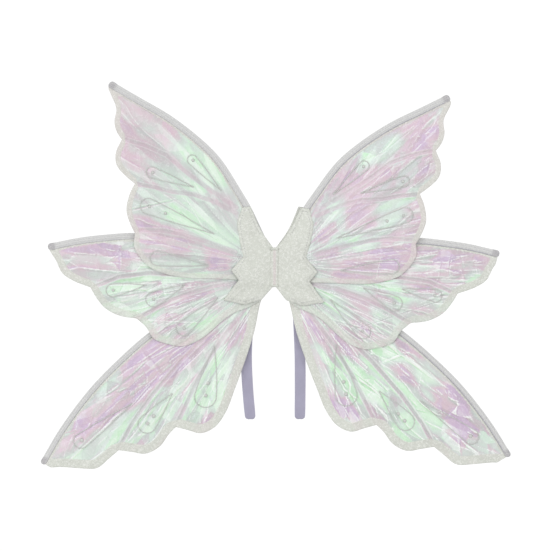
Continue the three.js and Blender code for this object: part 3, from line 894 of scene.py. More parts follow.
def smooth_outline(points, step, sharpest=32):
    """A closed outline, resampled smoothly between its corners."""
    points = np.asarray(points, float)
    before, after = points - np.roll(points, 1, 0), np.roll(points, -1, 0) - points
    turn = np.degrees(np.arctan2(np.cross(before, after), (before * after).sum(1)))
    corners = np.flatnonzero(np.abs(turn) > sharpest)
    if not len(corners):
        return even(points, step, closed=True)
    runs = []
    for a, b in zip(corners, [*corners[1:], corners[0] + len(points)]):
        run = points[np.arange(a, b + 1) % len(points)]
        runs.append(even(run, step)[:-1])
    return np.vstack(runs)


def distance_to(line, spots, closed=False):
    """For each spot: how far it is from the line, and how far along the line it is, from 0 to 1."""
    line = np.asarray(line, float)
    ends = np.vstack([line, line[:1]]) if closed else line
    best, along = np.full(len(spots), np.inf), np.zeros(len(spots))
    walked = walk(ends)
    for i, (a, b) in enumerate(zip(ends, ends[1:])):
        run = b - a
        offset = spots - a
        t = np.clip(offset @ run / max(run @ run, 1e-18), 0, 1)
        far = np.linalg.norm(offset - t[:, None] * run, axis=1)
        closer = far < best
        best[closer] = far[closer]
        along[closer] = (walked[i] + t[closer] * (walked[i + 1] - walked[i])) / walked[-1]
    return best, along


def inside(outline, spots):
    """Which spots are inside a closed outline."""
    crossings = np.zeros(len(spots), bool)
    x, y = spots.T
    for (ax, ay), (bx, by) in zip(outline, np.roll(outline, -1, 0)):
        if ay != by:
            crossings ^= ((ay > y) != (by > y)) & (x < (bx - ax) * (y - ay) / (by - ay) + ax)
    return crossings


def front_outline(node):
    """The outline of a flat node's front face, as (x, z) points in order."""
    mesh = frame["nodes"][node].data
    points = np.array([v.co for v in mesh.vertices])
    first = {}
    same = [first.setdefault(tuple(np.round(p * 1e5).astype(int)), i) for i, p in enumerate(points)]
    edges = set()
    for face in mesh.polygons:
        if face.normal.y < -0.9:
            ring = [same[i] for i in face.vertices]
            edges.update(zip(ring, ring[1:] + ring[:1]))
    following = {a: b for a, b in edges if (b, a) not in edges}
    start = min(following)
    loop = [start]
    while following[loop[-1]] != start:
        loop.append(following[loop[-1]])
    loop = points[loop][:, [0, 2]]
    gaps = np.linalg.norm(loop - np.roll(loop, 1, 0), axis=1)
    return loop[gaps > 0.0004]


def front_plane(node):
    """(a, b) of a flat node's front face, whose y is a + b * |x|."""
    mesh = frame["nodes"][node].data
    fronts = {i for face in mesh.polygons if face.normal.y < -0.9 for i in face.vertices}
    points = np.array([mesh.vertices[i].co for i in fronts])
    slope, start = np.polyfit(np.abs(points[:, 0]), points[:, 1], 1)
    return start, slope


def wire_line(side, level):
    """The middle of a panel's wire, from its root to its tip, as (x, y, z) points."""
    mesh = frame["nodes"][f"{side}_{level}_wire"].data
    points = np.unique(np.round([v.co for v in mesh.vertices], 6), axis=0)
    points = points[np.argsort(np.abs(points[:, 0]))]
    rings = np.split(points, np.flatnonzero(np.diff(np.abs(points[:, 0])) > 0.0015) + 1)
    return np.array([ring.mean(0) for ring in rings])


def behind_cap(outline, wire, reach):
    """The outline with its tip drawn back behind the casing's cap, to no further than reach past its wire."""
    ahead = wire[-1] - wire[-3]
    ahead /= np.linalg.norm(ahead)
    past = (outline - wire[-1]) @ ahead - reach
    past[np.linalg.norm(outline - wire[-1], axis=1) > 0.02] = 0
    return outline - np.maximum(past, 0)[:, None] * ahead


def only_used(triangles):
    """Which spots the triangles use, and the triangles with those spots numbered from 0."""
    used, renumbered = np.unique(triangles, return_inverse=True)
    return used, renumbered.reshape(-1, 3)


def grid_in(outline, step):
    """A grid of equal triangles' corners inside an outline."""
    low, high = outline.min(0), outline.max(0)
    rows = []
    for i, z in enumerate(np.arange(low[1], high[1], step * math.sqrt(3) / 2)):
        x = np.arange(low[0] + (i % 2) * step / 2, high[0], step)
        rows.append(np.column_stack([x, np.full(len(x), z)]))
    grid = np.vstack(rows)
    return grid[inside(outline, grid)]


def triangulate(loops, step):
    """Points and triangles that fill the first loop, with the other loops as edges inside it."""
    outer, edge_points = loops[0], np.vstack(loops)
    grid, tree = grid_in(outer, step), spot_tree(edge_points)
    clear = [tree.find((x, z, 0))[2] > 0.62 * step for x, z in grid]
    points = np.vstack([edge_points, grid[clear]])
    edges, start = [], 0
    for loop in loops:
        count = len(loop)
        edges += [(start + i, start + (i + 1) % count) for i in range(count)]
        start += count
    result = delaunay_2d_cdt([Vector(p) for p in points], edges, [], 1, 1e-7, False)
    spots, triangles = np.array([tuple(p) for p in result[0]]), np.array([tuple(f) for f in result[2]])
    used, kept = only_used(triangles[inside(outer, spots[triangles].mean(1))])
    return spots[used], kept


def slab(spots, triangles, front, back):
    """A closed sheet: (x, z) spots at the given front and back depths, joined round their edge."""
    count = len(spots)
    points = np.vstack([
        np.column_stack([spots[:, 0], front, spots[:, 1]]), np.column_stack([spots[:, 0], back, spots[:, 1]])
    ])
    a, b, c = (spots[triangles[:, i]] for i in range(3))
    backwards = np.cross(b - a, c - a) < 0
    triangles = np.where(backwards[:, None], triangles[:, ::-1], triangles)
    ring = np.vstack([triangles[:, [0, 1]], triangles[:, [1, 2]], triangles[:, [2, 0]]])
    used = {(int(p), int(q)) for p, q in ring}
    walls = [(p, p + count, q + count, q) for p, q in used if (q, p) not in used]
    faces = triangles.tolist() + (triangles[:, ::-1] + count).tolist() + sorted(walls)
    return points, faces


def make_piece(name, points, faces, material, marks=None, uv=None):
    """A smooth-shaded mesh object, with a number per point for each mark."""
    mesh = bpy.data.meshes.new(name)
    mesh.from_pydata(np.asarray(points).tolist(), [], faces)
    for mark, values in (marks or {}).items():
        layer = mesh.attributes.new(mark, "FLOAT", "POINT")
        layer.data.foreach_set("value", np.asarray(values, np.float32))
    if uv is not None:
        corner = np.empty(len(mesh.loops), np.int32)
        mesh.loops.foreach_get("vertex_index", corner)
        mesh.uv_layers.new(name="UVMap").data.foreach_set("uv", np.asarray(uv, np.float32)[corner].ravel())
    mesh.shade_smooth()
    mesh.update()
    mesh.materials.append(material)
    piece = bpy.data.objects.new(name, mesh)
    bpy.context.scene.collection.objects.link(piece)
    return piece


def tubes(lines, radius, sides=6, flat=1.0, closed=False):
    """Points and faces of thin rods along lines, each closed by its ends or by meeting itself."""
    points, faces = [], []
    for line in lines:
        line = np.asarray(line, float)
        count, start = len(line), len(points)
        ahead = heading(line, closed)
        across = unit(np.cross(ahead, (0.0, 1.0, 0.0)))
        front = np.cross(across, ahead)
        for i, centre in enumerate(line):
            thin = 1.0 if closed or 0 < i < count - 1 else 0.55
            for k in range(sides):
                angle = 2 * math.pi * (k + 0.5) / sides
                off = math.cos(angle) * across[i] + flat * math.sin(angle) * front[i]
                points.append(centre + thin * radius * off)
        for i in range(count if closed else count - 1):
            a, b = start + i * sides, start + ((i + 1) % count) * sides
            faces += [(a + k, a + (k + 1) % sides, b + (k + 1) % sides, b + k) for k in range(sides)]
        if not closed:
            faces.append(tuple(start + k for k in reversed(range(sides))))
            faces.append(tuple(start + (count - 1) * sides + k for k in range(sides)))
    return points, faces


def loft(rows, size):
    """The faces of a closed form through rows of size points each, with both ends filled."""
    faces = []
    for a in range(0, (rows - 1) * size, size):
        b = a + size
        faces += [(a + k, b + k, b + (k + 1) % size, a + (k + 1) % size) for k in range(size)]
    faces.append(tuple(reversed(range(size))))
    faces.append(tuple((rows - 1) * size + k for k in range(size)))
    return faces


def dress(piece, slot, body, *nodes):
    """Says which CAD nodes a piece stands for, what it is made of and which body it rides on."""
    if nodes:
        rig.replaces(piece, *nodes)
    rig.slot(piece, slot)
    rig.ride(piece, body)
    return piece


def make_thread(name, lines, radius, material, side, *nodes):
    """Runs of sewing thread along lines, on one of the wings."""
    thread = make_piece(name, *tubes(lines, radius, 5), MATERIALS[material])
    return dress(thread, "sewing_thread", f"{side}_wings", *nodes)


def joined(*parts):
    """Several (points, faces) as one."""
    points, faces = [], []
    for some, their in parts:
        faces += [tuple(i + len(points) for i in face) for face in their]
        points += list(some)
    return points, faces


# ---- Panels ---------------------------------------------------------------------------------------
class PanelShape:
    """Where one panel lies, and how its surface is folded."""

    def __init__(self, side, level):
        self.level, self.name, self.body, self.sign = level, f"{side}_{level}", f"{side}_wings", SIDES[side]
        self.pattern = PATTERNS[level]
        self.root = np.array(self.pattern["root"]) * MM
        self.veins = [np.array(vein) * MM for vein in self.pattern["veins"]]
        self.plane = front_plane(f"{self.name}_backing")
        self.wire, left_wire = (wire_line(each, level)[:, [0, 2]] for each in (side, "left"))
        cap_end = CAP_START[side][level] * MM + CAP_COVER
        self.outline = behind_cap(front_outline(f"{self.name}_backing"), self.wire, cap_end)
        self.window = front_outline(f"{self.name}_film")
        self.crumple = CRUMPLE[self.name]
        rise, left_rise = (math.atan2(tip[1], abs(tip[0])) for tip in (self.wire[-1], left_wire[-1]))
        self.hang = rise - left_rise
        self.seed = settings().film.seed + 100 * LEVELS.index(level) + (50 if side == "right" else 0)
        self.creases = self.scatter_creases()
        below = LEVELS[LEVELS.index(level) + 1:]
        self.behind = PanelShape(side, below[0]) if below else None

    def to_pattern(self, spots):
        """(x, z) spots as (out, up) on the flat pattern."""
        out, up = np.abs(spots[:, 0]), spots[:, 1]
        turn = -self.hang
        return np.column_stack([
            out * math.cos(turn) - up * math.sin(turn), out * math.sin(turn) + up * math.cos(turn)
        ])

    def from_pattern(self, spots):
        """(out, up) pattern spots, in metres, as (x, z)."""
        out, up = np.asarray(spots, float).T
        return np.column_stack([
            self.sign * (out * math.cos(self.hang) - up * math.sin(self.hang)),
            out * math.sin(self.hang) + up * math.cos(self.hang),
        ])

    def scatter_creases(self):
        """Short sharp creases, mostly away from the root: middle, direction, reach, width and height."""
        draw = np.random.default_rng(self.seed)
        outline = self.to_pattern(self.window)
        low, high = outline.min(0), outline.max(0)
        creases = []
        while len(creases) < 95:
            middle = draw.uniform(low, high)
            lean, reach = draw.normal(0, 0.30), draw.uniform(9, 46)
            width, height = draw.uniform(2.2, 8.5), draw.normal(0, 0.62)
            if inside(outline, middle[None])[0]:
                away = middle - self.root
                angle = math.atan2(away[1], away[0]) + lean * (2.2 if draw.random() < 0.25 else 1.0)
                if len(creases) % 4 == 0:
                    reach, width, height = 1.6 * reach, 0.45 * width, 1.6 * height
                run = np.array([math.cos(angle), math.sin(angle)])
                creases.append((middle, run, reach * MM, width * MM, height * (0.5 + 0.5 * self.crumple)))
        return creases

    def facets(self, flat):
        """How far and which way each place is from the root, and the facets that the film is crumpled into:
        long ones that run out from the root, small ones, and tumbled ones where it is crumpled most."""
        away = np.linalg.norm(flat - self.root, axis=1)
        turn = np.arctan2(flat[:, 1] - self.root[1], flat[:, 0] - self.root[0])
        wander = 0.4 * noise(away / 0.05, turn * 3, self.seed + 1)
        long_ones = cells(turn * 15 + wander, away / 0.075, self.seed + 5)
        shift = 0.3 * noise(flat[:, 0] / 0.02, flat[:, 1] / 0.02, self.seed + 6)
        small_ones = cells(turn * 24 + wander + shift, away / 0.026 + shift, self.seed + 7)
        tumbled = cells(flat[:, 0] / 0.013 + shift, flat[:, 1] / 0.021 + 2 * shift, self.seed + 10)
        patches = noise(flat[:, 0] / 0.04, flat[:, 1] / 0.04, self.seed + 8)
        crumpled = self.crumple * smoothstep(patches, -0.35 - 0.4 * self.crumple, 0.3)
        return away, turn, wander, long_ones, small_ones, tumbled, crumpled

    def folds(self, flat, facets):
        """The height of the folds, facets, creases and veins, before it is limited to the film's room."""
        away, turn, wander, long_ones, small_ones, tumbled, crumpled = facets
        total = 0.45 * ridged(turn * 6.5 + wander, away / 0.085, self.seed + 2)
        total += 0.3 * ridged(turn * 14 + wander, away / 0.05, self.seed + 3)
        layers = ((long_ones, 0.8), (small_ones, 0.1 + 0.6 * crumpled), (tumbled, 0.5 * crumpled))
        for (border, own, offset), strength in layers:
            tilted = own[:, 0] + 1.5 * (own[:, 1:] * offset).sum(1)
            total += strength * tilted * np.clip(border / 0.22, 0, 1)
        for middle, run, reach, width, height in self.creases:
            offset = flat - middle
            along = np.abs(offset @ run) / reach
            across = np.abs(offset[:, 0] * run[1] - offset[:, 1] * run[0]) / width
            total += height * np.clip(1 - across, 0, 1) * np.clip(1 - along**2, 0, 1)
        for vein in self.veins:
            far, along = distance_to(vein, flat)
            fade = smoothstep(along, 1.0, 0.8)
            total = total * (1 - 0.75 * fade * smoothstep(far, 0.006, 0.0025))
            total += fade * (0.6 * hump(far, 0.0026, 0.001) - 0.4 * hump(far, 0, 0.0015))
        return total

    def relief(self, spots):
        """How far the sheet stands in front of its plane at (x, z) spots."""
        flat = self.to_pattern(spots)
        facets = self.facets(flat)
        wander = facets[2]
        free = self.pattern["free"] * MM
        limit = np.clip(0.0005 + 0.021 * (flat[:, 0] - free), 0.0004, settings().film.fold_height)
        sharp = 0.45 + 0.4 * self.crumple
        height = limit * (0.5 + 0.5 * np.tanh(sharp * self.folds(flat, facets)))
        for out, up, reach in GATHERS[self.level]:
            offset = flat - np.array([out, up]) * MM
            near = np.exp(-np.linalg.norm(offset, axis=1) / (0.4 * reach * MM))
            pleat = np.abs(np.sin(9 * np.arctan2(offset[:, 1], offset[:, 0]) + 1.5 * wander))
            height += 0.0007 * near * (pleat - 0.5)
        rim, _ = distance_to(self.outline, spots, closed=True)
        tape, along = distance_to(self.wire, spots)
        ticks = 0.00022 * np.sin(along * 190) * np.exp(-np.clip(tape - 0.0035, 0, 1) / 0.004)
        border = self.pattern["border"] * MM + 0.006
        calm = smoothstep(tape, 0.003, 0.013) * (0.3 + 0.7 * smoothstep(rim, 0.001, border))
        return height * calm + ticks * smoothstep(rim, 0, 0.004)

    def hang_back(self, spots):
        """How fully the sheet hangs back on the panel behind it: 1 along its lower edge, 0 well above it."""
        low, high = self.pattern["droop"]
        up = self.to_pattern(spots)[:, 1]
        rim, _ = distance_to(self.outline, spots, closed=True)
        return smoothstep(rim, 0.028, 0.0) * smoothstep(up, high * MM, low * MM) * (self.behind is not None)

    def foremost(self, spots):
        """y of the foremost thing at (x, z) spots: the film, or the casing along the wire."""
        tape, _ = distance_to(self.wire, spots)
        return self.depth(spots) - FILM_LIFT - 0.0011 * smoothstep(tape, 0.0065, 0.0035)

    def depth(self, spots):
        """y of the front of the backing at (x, z) spots."""
        start, slope = self.plane
        front = start + slope * np.abs(spots[:, 0]) - self.relief(spots)
        hang = self.hang_back(spots)
        low = hang > 0
        if low.any():
            room = self.behind.foremost(spots[low]) - front[low] - settings().cloth.thickness - PANEL_GAP
            front[low] += hang[low] * np.clip(room, 0, HANG_MOST)
        return front


def slopes(points, triangles):
    """The sideways and upward lean of each point's normal, for a sheet that faces the front."""
    a, b, c = (points[triangles[:, i]] for i in range(3))
    normals = np.cross(b - a, c - a)
    normals *= -np.sign(normals[:, 1:2] + 1e-12)
    total = np.zeros_like(points)
    for i in range(3):
        np.add.at(total, triangles[:, i], normals)
    total = unit(total)
    return total[:, 0], total[:, 2]


def bulge(points, triangles, height):
    """How far each point stands above the mean of its neighbours."""
    pairs = np.vstack([triangles[:, [0, 1]], triangles[:, [1, 2]], triangles[:, [2, 0]]])
    total, count = np.zeros(len(points)), np.zeros(len(points))
    for a, b in (pairs.T, pairs[:, ::-1].T):
        np.add.at(total, a, height[b])
        np.add.at(count, a, 1)
    return height - total / np.maximum(count, 1)


def flash_tone(shape, spots):
    """The tone of the film's flashes of colour at each spot."""
    at = np.column_stack([np.abs(spots[:, 0]), spots[:, 1]])
    smudge = 0.3 * noise(at[:, 0] / 0.014, at[:, 1] / 0.014, shape.seed + 11)
    weight = np.full(len(spots), 0.1)
    tone = 0.45 * weight
    for out, up, reach, value in FLASHES[shape.name]:
        middle = np.array([out, up]) * MM
        run = (middle - shape.root) / np.linalg.norm(middle - shape.root)
        offset = (at - middle) / (reach * MM)
        along, across = offset @ run, offset[:, 0] * run[1] - offset[:, 1] * run[0]
        near = np.exp(-((along / 1.45) ** 2) - ((across + smudge) / 0.75) ** 2)
        tone, weight = tone + value * near, weight + near
    return tone / weight


def film_marks(shape, spots, triangles, relief):
    """The film's tone at each spot, and the light and shade painted on it: highlights along the creases, shade at the
    gathers, and the light and shade of its facets.
    """
    points = np.column_stack([spots[:, 0], -relief, spots[:, 1]])
    lean_x, lean_z = slopes(points, triangles)
    flat = shape.to_pattern(spots)
    away, turn, wander, long_ones, small_ones, tumbled, crumpled = shape.facets(flat)
    tone = flash_tone(shape, spots)
    tone += 0.14 * shape.crumple * long_ones[1][:, 2] + (0.03 + 0.2 * crumpled) * small_ones[1][:, 2]
    tone += 0.16 * crumpled * tumbled[1][:, 2]
    # Painted reflection: the tone shifts with the way each facet leans, towards lilac where it faces up and outward
    # and towards mint where it faces down and inward, as the film's iridescent colour turns with the angle of the
    # light.
    tone += 0.5 * (0.45 * lean_x * shape.sign + 0.75 * lean_z)
    tone += 0.1 * noise(turn * 34 + wander, away / 0.06, shape.seed + 9)
    to_vein = np.min([distance_to(vein, flat)[0] for vein in shape.veins], axis=0)
    band, beside = smoothstep(to_vein, 0.0034, 0.0018), smoothstep(to_vein, 0.0052, 0.0038)
    tone += (0.68 - tone) * 0.7 * band
    raised = bulge(points, triangles, relief)
    # Painted highlight: where a fold stands above its neighbours, its ridge is painted near-white.
    crease = smoothstep(raised, 0.00003, 0.00015) * (1 - 0.6 * beside)
    # Painted light and shade on the facets: each facet lighter or darker at random, the mint parts lighter, and
    # painted shade in the valleys of the folds; the vein bands are darker too.
    shine = 0.5 * long_ones[1][:, 1] + (0.1 + 0.5 * crumpled) * small_ones[1][:, 1]
    shine += 0.5 * crumpled * tumbled[1][:, 1] + 0.7 * smoothstep(tone, 0.35, 0.0) - 0.15
    shine -= 0.8 * smoothstep(-raised, 0.00005, 0.0002) * (1 - 0.5 * beside) + 0.3 * band
    # Painted shade in the gathers where the covers pull the film in.
    gather = np.zeros(len(spots))
    for out, up, reach in GATHERS[shape.level]:
        far = np.linalg.norm(flat - np.array([out, up]) * MM, axis=1)
        gather = np.maximum(gather, np.exp(-far / (0.14 * reach * MM)))
    return {
        "tone": np.clip(tone, 0, 1), "crease": (0.4 + 0.45 * shape.crumple) * crease, "gather": 0.25 * gather,
        "shine": np.clip(0.5 + 0.5 * shine, 0, 1),
    }


def teardrop(centre, radius, point):
    """A closed teardrop line in (out, up) millimetres: a round end and sides that run in to a point."""
    centre, point = np.array(centre, float), np.array(point, float)
    away = centre - point
    reach = np.linalg.norm(away)
    angles = math.atan2(away[1], away[0]) + np.linspace(-1.75, 1.75, 9)
    arc = [centre + radius * np.array([math.cos(angle), math.sin(angle)]) for angle in angles]
    across = np.array([-away[1], away[0]]) / reach
    sides = [(0.62, 0.72), (0.35, 0.42), (0.14, 0.16)]
    back = [point + f * away + across * radius * w for f, w in sides]
    forth = [point + f * away - across * radius * w for f, w in reversed(sides)]
    return np.array(arc + back + [point] + forth)


def make_teardrops(shape):
    """The raised lines of the teardrops on the film, and the dots in them."""

    def on_film(flat):
        spots = shape.from_pattern(np.asarray(flat) * MM)
        return np.column_stack([spots[:, 0], shape.depth(spots) - FILM_LIFT - LINE_LIFT, spots[:, 1]])

    loops, dots = [], []
    for centre, radius, point, count in shape.pattern["drops"]:
        loops.append(on_film(even(teardrop(centre, radius, point), 1.2, closed=True)))
        away = np.array(point, float) - centre
        dots += [np.array(centre) + away * (0.02 + 0.24 * k) for k in range(count)]
    dot_radius = 0.0021 if shape.level == "lower" else 0.0017
    beads = [bead(on_film(dot[None])[0], dot_radius, 0.0006) for dot in dots]
    mesh = joined(tubes(loops, 0.0005, 6, 0.6, closed=True), *beads)
    piece = make_piece(f"{shape.name}_teardrops", *mesh, MATERIALS["line"])
    return dress(piece, "glitter_cloth", shape.body)


def bead(centre, radius, height):
    """A low round dome with its flat side to the rear."""
    points = [centre + (0, -height, 0)]
    for level, spread in ((0.85, 0.42), (0.5, 0.8), (0.0, 1.0)):
        for k in range(12):
            angle, reach = 2 * math.pi * k / 12, radius * spread
            points.append(centre + (reach * math.cos(angle), -height * level, reach * math.sin(angle)))
    faces = [(0, 1 + k, 1 + (k + 1) % 12) for k in range(12)]
    for ring in (0, 1):
        a, b = 1 + 12 * ring, 13 + 12 * ring
        faces += [(a + k, b + k, b + (k + 1) % 12, a + (k + 1) % 12) for k in range(12)]
    faces.append(tuple(25 + k for k in reversed(range(12))))
    return points, faces


def make_panel(side, level):
    """A panel: its backing with a raised rim, the film window on its front and the teardrops on the film."""
    spacing = settings().film.spacing
    shape = PanelShape(side, level)
    loops = [smooth_outline(line, spacing) for line in (shape.outline, shape.window)]
    spots, triangles = triangulate(loops, spacing)
    depth = shape.depth(spots)
    marks = film_marks(shape, spots, triangles, shape.relief(spots))
    make_backing(shape, spots, triangles, depth, marks)
    make_film(shape, spots, triangles, depth, marks)


def make_backing(shape, spots, triangles, depth, marks):
    """The glitter cloth behind a film window, with its rim puffed up round the window."""
    cloth = settings().cloth
    to_edge, _ = distance_to(shape.outline, spots, closed=True)
    to_window, _ = distance_to(shape.window, spots, closed=True)
    to_tape, _ = distance_to(shape.wire, spots)
    rim = np.where(inside(shape.window, spots), smoothstep(to_window, 0.0012, 0.0004), 1.0)
    puff = cloth.puff * np.sqrt(np.clip(to_edge / 0.0018, 0, 1)) * rim * smoothstep(to_tape, 0.003, 0.006)
    # Painted see-through: where the rim hangs back over the panel behind, half of it takes the film's colours, as if
    # light came through the thin rim from the film.
    marks["rim"] = rim * (1 - 0.5 * shape.hang_back(spots))
    marks["blush"] = 0.4 * smoothstep(marks["tone"], 0.4, 0.85) + (0.4 if shape.level == "upper" else 0.0)
    mesh = slab(spots, triangles, depth - puff, depth + cloth.thickness + 0.3 * puff)
    both = {key: np.tile(values, 2) for key, values in marks.items()}
    backing = make_piece(f"{shape.name}_backing_cloth", *mesh, MATERIALS["panel"], both)
    dress(backing, "glitter_cloth", shape.body, f"{shape.name}_backing")
    declare_sheet(backing, shape.outline, shape.plane[1])


def make_film(shape, spots, triangles, depth, marks):
    """The film window on a backing, and its teardrops."""
    in_window = inside(shape.window, spots[triangles].mean(1))
    used, kept = only_used(triangles[in_window])
    front = depth[used] - FILM_LIFT
    mesh = slab(spots[used], kept, front, front + settings().film.thickness)
    both = {key: np.tile(values[used], 2) for key, values in marks.items()}
    sheet = make_piece(f"{shape.name}_film_sheet", *mesh, MATERIALS["film"], both)
    dress(sheet, "window_film", shape.body, f"{shape.name}_film")
    declare_sheet(sheet, shape.window, shape.plane[1], [make_teardrops(shape)])


def declare_sheet(piece, outline, slope, with_pieces=()):
    """Declares a sheet cut flat to an (x, z) outline, then laid on a plane that falls back by slope."""
    x, z = outline.T
    stretch = math.hypot(1, slope)
    flat = (np.ptp(x) * stretch, np.ptp(z))
    area = abs(x @ np.roll(z, -1) - z @ np.roll(x, -1)) / 2 * stretch
    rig.sheet(piece, flat=flat, held="stretched", area=area, with_pieces=list(with_pieces))


# ---- Casings --------------------------------------------------------------------------------------
def casing_profile(level):
    """(across, front) of one half of the casing's section, from its outer to its inner edge, in metres."""
    across = np.array([
        -3.2, -3.1, -2.85, -2.5, -2.15, -1.8, -1.5, -1.25, -0.95, -0.5, 0, 0.5,
        0.95, 1.25, 1.6, 2.0, 2.4, 2.8, 3.2, 3.6, 4.0, 4.4, 4.7, 4.85,
    ])
    front = 0.7 + 0.8 * hump(across, 0, 1.0) + 0.36 * hump(across, -2.2, 0.65)
    front += 0.3 * hump(across, 2.3, 0.6) + 0.2 * hump(across, 4.1, 0.5)
    front *= np.clip(np.minimum(across + 3.35, 4.95 - across) / 0.35, 0.15, 1) ** 0.5
    return np.where(across > 1.25, 1.25 + (across - 1.25) * INNER_HEM[level], across) * MM, front * MM


class CasingRun:
    """A casing's middle line, how far along it each point is, and which ways are inward and outward."""

    def __init__(self, side, level):
        wire = wire_line(side, level)
        wire[-1] += unit((wire[-1] - wire[-2])[None])[0] * CAP_START[side][level] * MM
        line = even(wire, 0.0016)
        self.line = line[np.linalg.norm(line - line[0], axis=1) > 0.003]
        self.walked = walk(self.line)
        self.ahead = heading(self.line)
        front = np.tile((0.0, -1.0, 0.0), (len(self.line), 1))
        self.outward = unit(front - (front * self.ahead).sum(1, keepdims=True) * self.ahead)
        self.inward = np.cross(self.outward, self.ahead) * SIDES[side]

    def stations(self):
        """Where the casing's section stands: place, inward, outward, its size and how far along it is."""
        yield from zip(self.line, self.inward, self.outward, np.ones(len(self.line)), self.walked)
        for part in (0.35, 0.62, 0.82, 0.94):
            place = self.line[-1] + self.ahead[-1] * CAP_LENGTH * part
            yield place, self.inward[-1], self.outward[-1], math.sqrt(1 - part**2), self.walked[-1]


def make_casing(side, level):
    """The casing along a leading edge: three pressed ribs, two rows of stitches and a capped tip."""
    run = CasingRun(side, level)
    across, front = casing_profile(level)
    half = list(zip(across, front))
    section = half + [(a, -0.92 * f) for a, f in reversed(half)]
    # Painted shade: the rolled edge is darkened more on the right wings, as the light falls from the left.
    shade = 0.35 if side == "left" else 0.8
    points, uv, rolled, nub, groove = [], [], [], [], []
    for centre, inner, out, squeeze, along in run.stations():
        to_tip = run.walked[-1] - along
        swell = 1 + 0.1 * smoothstep(to_tip, 0.008, 0.001)
        for k, (s, f) in enumerate(section):
            ripple = 1 + 0.05 * math.sin(along * 2100 + 3 * math.sin(along * 230)) * (abs(s) > 0.0009)
            points.append(centre + squeeze * swell * (s * inner + ripple * f * out))
            uv.append((s + (0.02 if k >= len(half) else 0.0), along))
            rolled.append(shade * float(smoothstep(-s, 0.0015, 0.0024)))
            nub.append(float(smoothstep(to_tip, 0.006, 0.003)))
            groove.append(float(max(0.0, 1 - abs(abs(s) - 0.0013) / 0.0004)))
    faces = loft(len(points) // len(section), len(section))
    if SIDES[side] > 0:
        faces = [tuple(reversed(face)) for face in faces]
    marks = {"rolled": rolled, "nub": nub, "groove": groove}
    tape = make_piece(f"{side}_{level}_casing_tape", points, faces, MATERIALS["casing"], marks, uv)
    dress(tape, "edge_casing", f"{side}_wings", f"{side}_{level}_casing")
    make_thread(f"{side}_{level}_casing_stitches", casing_stitches(run), 0.00021, "edge_thread", side)


def casing_stitches(run):
    """Two rows of stitches on the front and the rear of a casing, beside its middle rib."""
    length, gap = settings().edging.stitch_length, settings().edging.stitch_gap
    share_along = np.array([0, 0.15, 0.5, 0.85, 1.0])
    rise = np.array([-0.0003, 0.00005, 0.0001, 0.00005, -0.0003])[:, None]
    stitches = []
    for offset in (-0.00125, 0.00125):
        for face in (1, -1):
            for begin in np.arange(0.004, run.walked[-1] - 0.006, length + gap):
                at = begin + share_along * length
                rows = (run.line, run.inward, run.outward)
                place, inner, out = (along_line(at, run.walked, each) for each in rows)
                stitches.append(place + offset * inner + (face * 0.00068 + rise * face) * out)
    return stitches


# ---- Covers, centre and loops ---------------------------------------------------------------------
def cover_relief(spots, front):
    """How far a cover stands off its plane: its puckers, and the way it hugs the panels."""
    out, up = np.abs(spots[:, 0]), spots[:, 1]
    away, turn = np.hypot(out, up), np.arctan2(up, out)
    puckers = 0.00075 * ridged(turn * 5.5 + 0.4 * noise(away / 0.02, turn * 2, 31), away / 0.045, 32)
    puckers += 0.00035 * ridged(turn * 12, away / 0.03, 33) + 0.0003 * noise(out / 0.009, up / 0.009, 34)
    height = 0.0008 * smoothstep(out, 0.0036, 0.011) - 0.0003
    height += 0.55 * puckers * smoothstep(away, 0.008, 0.028)
    if front:
        return height - 0.0036 * smoothstep(-up, 0.012, 0.027) * smoothstep(out, 0.004, 0.014)
    return height + 0.0075 * smoothstep(up, 0.004, 0.034) * -smoothstep(out, 0.004, 0.02)


def cover_outline(side, node):
    """A cover's outline, carried on from its CAD edge almost to the centre line."""
    outline = front_outline(node)
    near = np.abs(outline[:, 0]) < 0.0076
    outline[near] = np.column_stack([np.full(near.sum(), SIDES[side] * 0.0006), outline[near, 1] * 0.79])
    return outline


def cover_height(side, front, outline, spots):
    """How far a cover stands off its plane, with its edge pressed down and its hem drawn in."""
    edge, _ = distance_to(outline, spots, closed=True)
    from_centre = smoothstep(np.abs(spots[:, 0]), 0.002, 0.006)
    tucked = (1 - np.sqrt(np.clip(edge / 0.0045, 0, 1))) * from_centre
    hem = 0.0002 * hump(edge, HEM_MARGIN, 0.0008) * from_centre
    to_wire, _ = distance_to(wire_line(side, "upper")[:, [0, 2]], spots)
    pressed = 0.0014 + (0.0008 * smoothstep(to_wire, 0.003, 0.007) if front else 0.0)
    return cover_relief(spots, front) - pressed * tucked - hem


